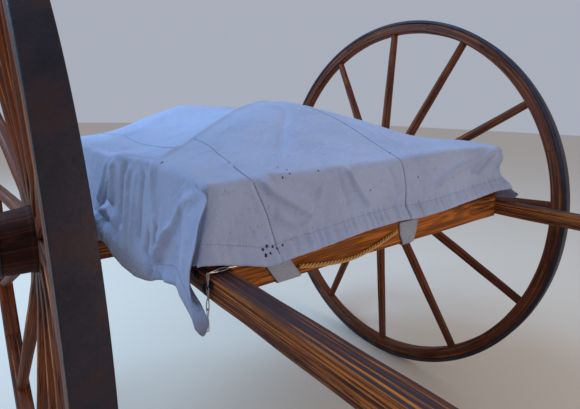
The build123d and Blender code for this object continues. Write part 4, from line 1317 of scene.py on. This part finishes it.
def stitches(surface, places, uprights, length=0.0036, radius=0.00042):
    """Short closed tubes along a line of cloth, one at each stitch pitch, lying just over it."""
    at = run_lengths(places)
    starts = np.arange(0.003, at[-1] - length, STITCH_PITCH)
    where = starts[:, None] + np.array([0.0, 0.25, 0.75, 1.0]) * length
    swell = np.array([0.45, 1.0, 1.0, 0.45])[:, None]
    middle, upright = (at_lengths(where, at, values) for values in (places, uprights))
    across = np.cross(upright, unit(middle[:, -1:] - middle[:, :1]))
    middle = middle + upright * (0.0007 + 0.0003 * swell)
    rings = closed(tube(middle, across, upright, radius * swell[..., None], 5))
    shape = rings.shape[1:3]
    surface.grids(rings, np.moveaxis(np.indices(shape), 0, -1) / shape * 0.01)


class CART_OT_cover(CartOperator):
    """Canvas cover drawn over the box"""
    bl_idname = "cart.cover"
    bl_label = "Cover"

    def execute(self, context):
        grid, flat, to_edge = cover_grid()
        surface = Surface()
        surface.grid(grid, uv=flat)
        thickness = context.scene.cart_sizes.canvas_thickness
        obj = surface.finish("Cover", "Cotton duck", "cart", "canvas", "cover", thickness=thickness)
        thread = self.thread(grid, flat, to_edge)
        return {"FINISHED"}

    def thread(self, grid, flat, to_edge):
        """Stitches: a row above the hem all round, and a heavier one along each seam."""
        surface = Surface()
        upright = np.zeros_like(grid)
        upright[1:-1, 1:-1] = np.cross(grid[2:, 1:-1] - grid[:-2, 1:-1], grid[1:-1, 2:] - grid[1:-1, :-2])
        upright[:, 0], upright[:, -1] = upright[:, 1], upright[:, -2]
        columns = np.arange(grid.shape[1])
        height = HEM_WIDTH - 0.004
        row = np.argmax(to_edge < height, axis=0)
        low, high = to_edge[row, columns], to_edge[row - 1, columns]
        share = np.clip((height - low) / (high - low), 0, 1)[:, None]
        places = grid[row, columns] * (1 - share) + grid[row - 1, columns] * share
        stitches(surface, places, unit(upright[row - 1, columns]))
        for line in SEAMS:
            # y counts twice, so that the samples stand closer along the cloth
            wanted, _ = resample(np.array(line)[:, [0, 1, 1]] / 1000, 330)
            stitches(surface, *on_cloth(grid, flat, wanted[10:-8, :2] + (0.001, 0)), 0.0046, 0.0007)
        return surface.finish("Cover_stitches", "Dark thread", "cart", "canvas")


# Straps round the front beam: middle along X below, how far the top leans, and the half width at each
# share of the way from the top of the beam's face, down, under and up behind
STRAPS = (
    ("Strap_right", -0.350, 0.043, ((0.0, 0.028), (1.0, 0.028))),
    ("Strap_middle", 0.014, 0.000, (
        (0.0, 0.037), (0.16, 0.034), (0.34, 0.019), (0.50, 0.017), (0.7, 0.030), (1.0, 0.034),
    )),
)


class CART_OT_straps(CartOperator):
    """Webbing straps from the hem round the front beam"""
    bl_idname = "cart.straps"
    bl_label = "Straps"

    def execute(self, context):
        """Each strap is a sheet carried round the beam's section: the section's line gives y and z, and
        the width's share gives x, with a lean on the front face and a fine seeded unevenness. Where a
        strap is squeezed narrow it stands in pleats, away from the beam."""
        front, rear, low, top, bend = -0.6282, -0.5639, 0.7782, 0.836, 0.004
        line = np.array([
            (front, top), (front, 0.810), (front - 0.0006, low + bend), (front + bend, low),
            (rear - bend, low), (rear, low + bend), (rear, top - 0.002),
        ])
        lengths = run_lengths(line)
        at = np.linspace(0, lengths[-1], 110)[:, None]
        y, z = np.moveaxis(at_lengths(at, lengths, line), -1, 0)
        facing = np.where(y < front + 0.003, -1.0, np.where(y > rear - 0.003, 1.0, 0.0))
        below = np.where(facing == 0, -1.0, 0.0)
        leaning = np.clip((z - low) / (top - low), 0, 1) * (y < (front + rear) / 2)
        across = np.linspace(-1, 1, 25)
        for index, (name, middle, lean, widths) in enumerate(STRAPS):
            half = np.interp(at / lengths[-1], *np.array(widths).T)
            widest = 2 * max(width for _, width in widths)
            x = middle - lean * leaning + half * across
            x = x + 0.0008 * ripple(130 + index, at, across, 20.0, 0.3) * np.abs(across) ** 6
            pleats = 0.0030 * (1 - half * 2 / widest) * np.sin(np.pi * 3.0 * across)
            pleats = np.abs(pleats + 0.0004 * ripple(140 + index, at, across, 12.0, 0.8))
            surface = Surface()
            flat = np.stack(np.broadcast_arrays(at, across * widest / 2), -1)
            points = np.stack([x, y + facing * pleats, z + below * pleats], -1)
            surface.grid(points, uv=flat, wear_and_shade=0.35 * np.abs(across) ** 8)
            obj = surface.finish(name, "Strap webbing", "cart", "canvas", "cover_straps", thickness=0.0022)
        return {"FINISHED"}


# Chain on the right shaft: for each link its middle, its length's direction and its width's direction
CHAIN_LINKS = (
    ((-0.522, -0.633, 0.7995), (0, 0, 1), (0, 1, 0)), ((-0.522, -0.633, 0.7819), (0, 0, 1), (1, 0, 0)),
    ((-0.522, -0.633, 0.7643), (0, 0, 1), (0, 1, 0)), ((-0.522, -0.633, 0.7467), (0, 0, 1), (1, 0, 0)),
    ((-0.522, -0.633, 0.8225), (0, 0, 1), (0, 1, 0)), ((-0.514, -0.633, 0.8335), (1, 0, 0), (0, 1, 0)),
    ((-0.4965, -0.633, 0.8340), (1, 0, 0), (0, 0.35, 0.94)),
    ((-0.479, -0.633, 0.8345), (1, 0, 0.06), (0, 1, 0)),
)


class CART_OT_chain(CartOperator):
    """Twisted wire chain over the right shaft"""
    bl_idname = "cart.chain"
    bl_label = "Chain"

    def execute(self, context):
        """Each link is a tube round a long rounded loop: two straights and two half circles, and the loop
        turns a little about its length from end to end."""
        wire, half_width, half_length = 0.00098, 0.0022, 0.0100
        turn = np.linspace(0, 2 * np.pi, 41)[:, None]
        along = half_width * np.sin(turn) + (half_length - half_width) * np.tanh(6 * np.sin(turn))
        across = half_width * np.cos(turn)
        twist = 0.5 * along / half_length
        surface = Surface()
        for middle, length_way, width_way in CHAIN_LINKS:
            a, b = unit(np.array(length_way)), np.array(width_way)
            c = np.cross(a, b)
            path = a * along + (b * np.cos(twist) + c * np.sin(twist)) * across
            tangent = np.gradient(path, axis=0)
            tangent[0] = tangent[-1] = path[1] - path[-2]
            tangent = unit(tangent)
            inward = unit(np.cross(tangent, c))
            rings = tube(path, inward, np.cross(tangent, inward), wire, 8)
            surface.grid(np.concatenate([rings, rings[:, :1]], 1) + middle)
        surface.finish("Chain_links", "Chain steel", "cart", "chain_steel", "chain")
        self.eye()
        return {"FINISHED"}

    def eye(self):
        """The chain's eye: a round plate against the shaft and a small ring standing on it."""
        surface = Surface()
        plate = turned([(0.0, 0.0), (0.0, 0.0085), (0.0010, 0.0085), (0.0016, 0.0070), (0.0018, 0.0)], 32)
        surface.grid(plate * (-1, 1, 1) + (-0.516, -0.633, 0.812))
        wire, middle = 0.0013, 0.0047
        turn, angle = np.linspace(0, 2 * np.pi, 33)[:, None], np.linspace(0, 2 * np.pi, 13)
        wide = middle + wire * np.cos(angle)
        ring = np.stack([wide * np.cos(turn), wire * np.sin(angle) + 0 * turn, wide * np.sin(turn)], -1)
        surface.grid(ring + (-0.520, -0.633, 0.812))
        surface.finish("Chain_eye", "Bolt iron", "cart", "forged_iron", "chain_eye")


# Bolt heads: place and outward direction, for the right side and mirrored to the left
BOLTS = (
    ((-0.516, -0.612, 0.7985), (-1, 0, 0)), ((-0.516, -0.580, 0.812), (-1, 0, 0)),
    ((-0.516, 0.582, 0.806), (-1, 0, 0)), ((-0.496, 0.0, SHAFT_TOP), (0, 0, 1)),
)


class CART_OT_bolts(CartOperator):
    """Round bolt heads on the shafts and beams"""
    bl_idname = "cart.bolts"
    bl_label = "Bolts"

    def execute(self, context):
        """Each head is a low dome on a washer, a profile turned about its bolt."""
        radius = context.scene.cart_sizes.bolt_radius
        head = turned([
            (-0.001, 0.0), (-0.001, radius * 1.5), (0.0012, radius * 1.5), (0.0016, radius * 1.4),
            (0.0017, radius), (0.0030, radius * 0.94), (0.0045, radius * 0.70), (0.0053, radius * 0.35),
            (0.0055, 0.0),
        ], 28)
        surface = Surface()
        for place, way in BOLTS:
            for mirror in ((1, 1, 1), (-1, 1, 1)):
                a = np.array(way) * mirror
                b = np.roll(a, 1)
                surface.grid(head @ np.array([a, b, np.cross(a, b)]) + np.array(place) * mirror)
        surface.finish("Frame_bolts", "Bolt iron", "cart", "forged_iron")
        return {"FINISHED"}


class CART_OT_plain(CartOperator):
    """Materials for the CAD nodes that are shown as they are"""
    bl_idname = "cart.plain"
    bl_label = "Plain nodes"

    def execute(self, context):
        """Give each carried-over node its own procedural material, and all but the axle worn edges."""
        for node, name in (
            ("axle_iron", "Forged iron"), ("axle_nuts", "Forged iron"),
            ("prop_bracket_left", "Forged iron"), ("prop_bracket_right", "Forged iron"),
            ("prop_leg_left", "Leg timber"), ("prop_leg_right", "Leg timber"),
        ):
            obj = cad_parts[node]
            obj.data.materials.clear()
            obj.data.materials.append(material(name))
            if node != "axle_iron":
                edges = obj.modifiers.new("Worn edges", "BEVEL")
                edges.width = context.scene.cart_sizes.edge_bevel
                edges.segments = 3
                edges.limit_method = "ANGLE"
                edges.angle_limit = math.radians(40)
        return {"FINISHED"}


class CART_PT_panel(bpy.types.Panel):
    """Sizes, colours and buttons for the cart's pieces"""
    bl_label = "Shaft cart"
    bl_idname = "CART_PT_panel"
    bl_space_type = "VIEW_3D"
    bl_region_type = "UI"
    bl_category = "Cart"

    def draw(self, context):
        """Draw the settings, then one button for each operator."""
        for group in (context.scene.cart_sizes, context.scene.cart_finish):
            for name in group.__annotations__:
                self.layout.prop(group, name)
        for operator in OPERATORS:
            self.layout.operator(operator.bl_idname)


OPERATORS = (
    CART_OT_camera, CART_OT_rope, CART_OT_stage, CART_OT_wheels, CART_OT_frame, CART_OT_cover,
    CART_OT_straps, CART_OT_chain, CART_OT_bolts, CART_OT_plain,
)
CLASSES = (CartFinish, CartSizes) + OPERATORS + (CART_PT_panel,)


def register():
    """Register the classes and the scene's settings."""
    for kind in CLASSES:
        bpy.utils.register_class(kind)
    bpy.types.Scene.cart_finish = bpy.props.PointerProperty(type=CartFinish)
    bpy.types.Scene.cart_sizes = bpy.props.PointerProperty(type=CartSizes)


def unregister():
    """Remove the settings and the classes."""
    del bpy.types.Scene.cart_sizes
    del bpy.types.Scene.cart_finish
    for kind in reversed(CLASSES):
        bpy.utils.unregister_class(kind)


def main():
    """Make the whole scene: register the settings, then run each operator."""
    register()
    for operator in OPERATORS:
        group_name, name = operator.bl_idname.split(".")
        if getattr(getattr(bpy.ops, group_name), name)() != {"FINISHED"}:
            raise RuntimeError(f"{operator.bl_idname} didn't finish")


if __name__ == "__main__":
    main()
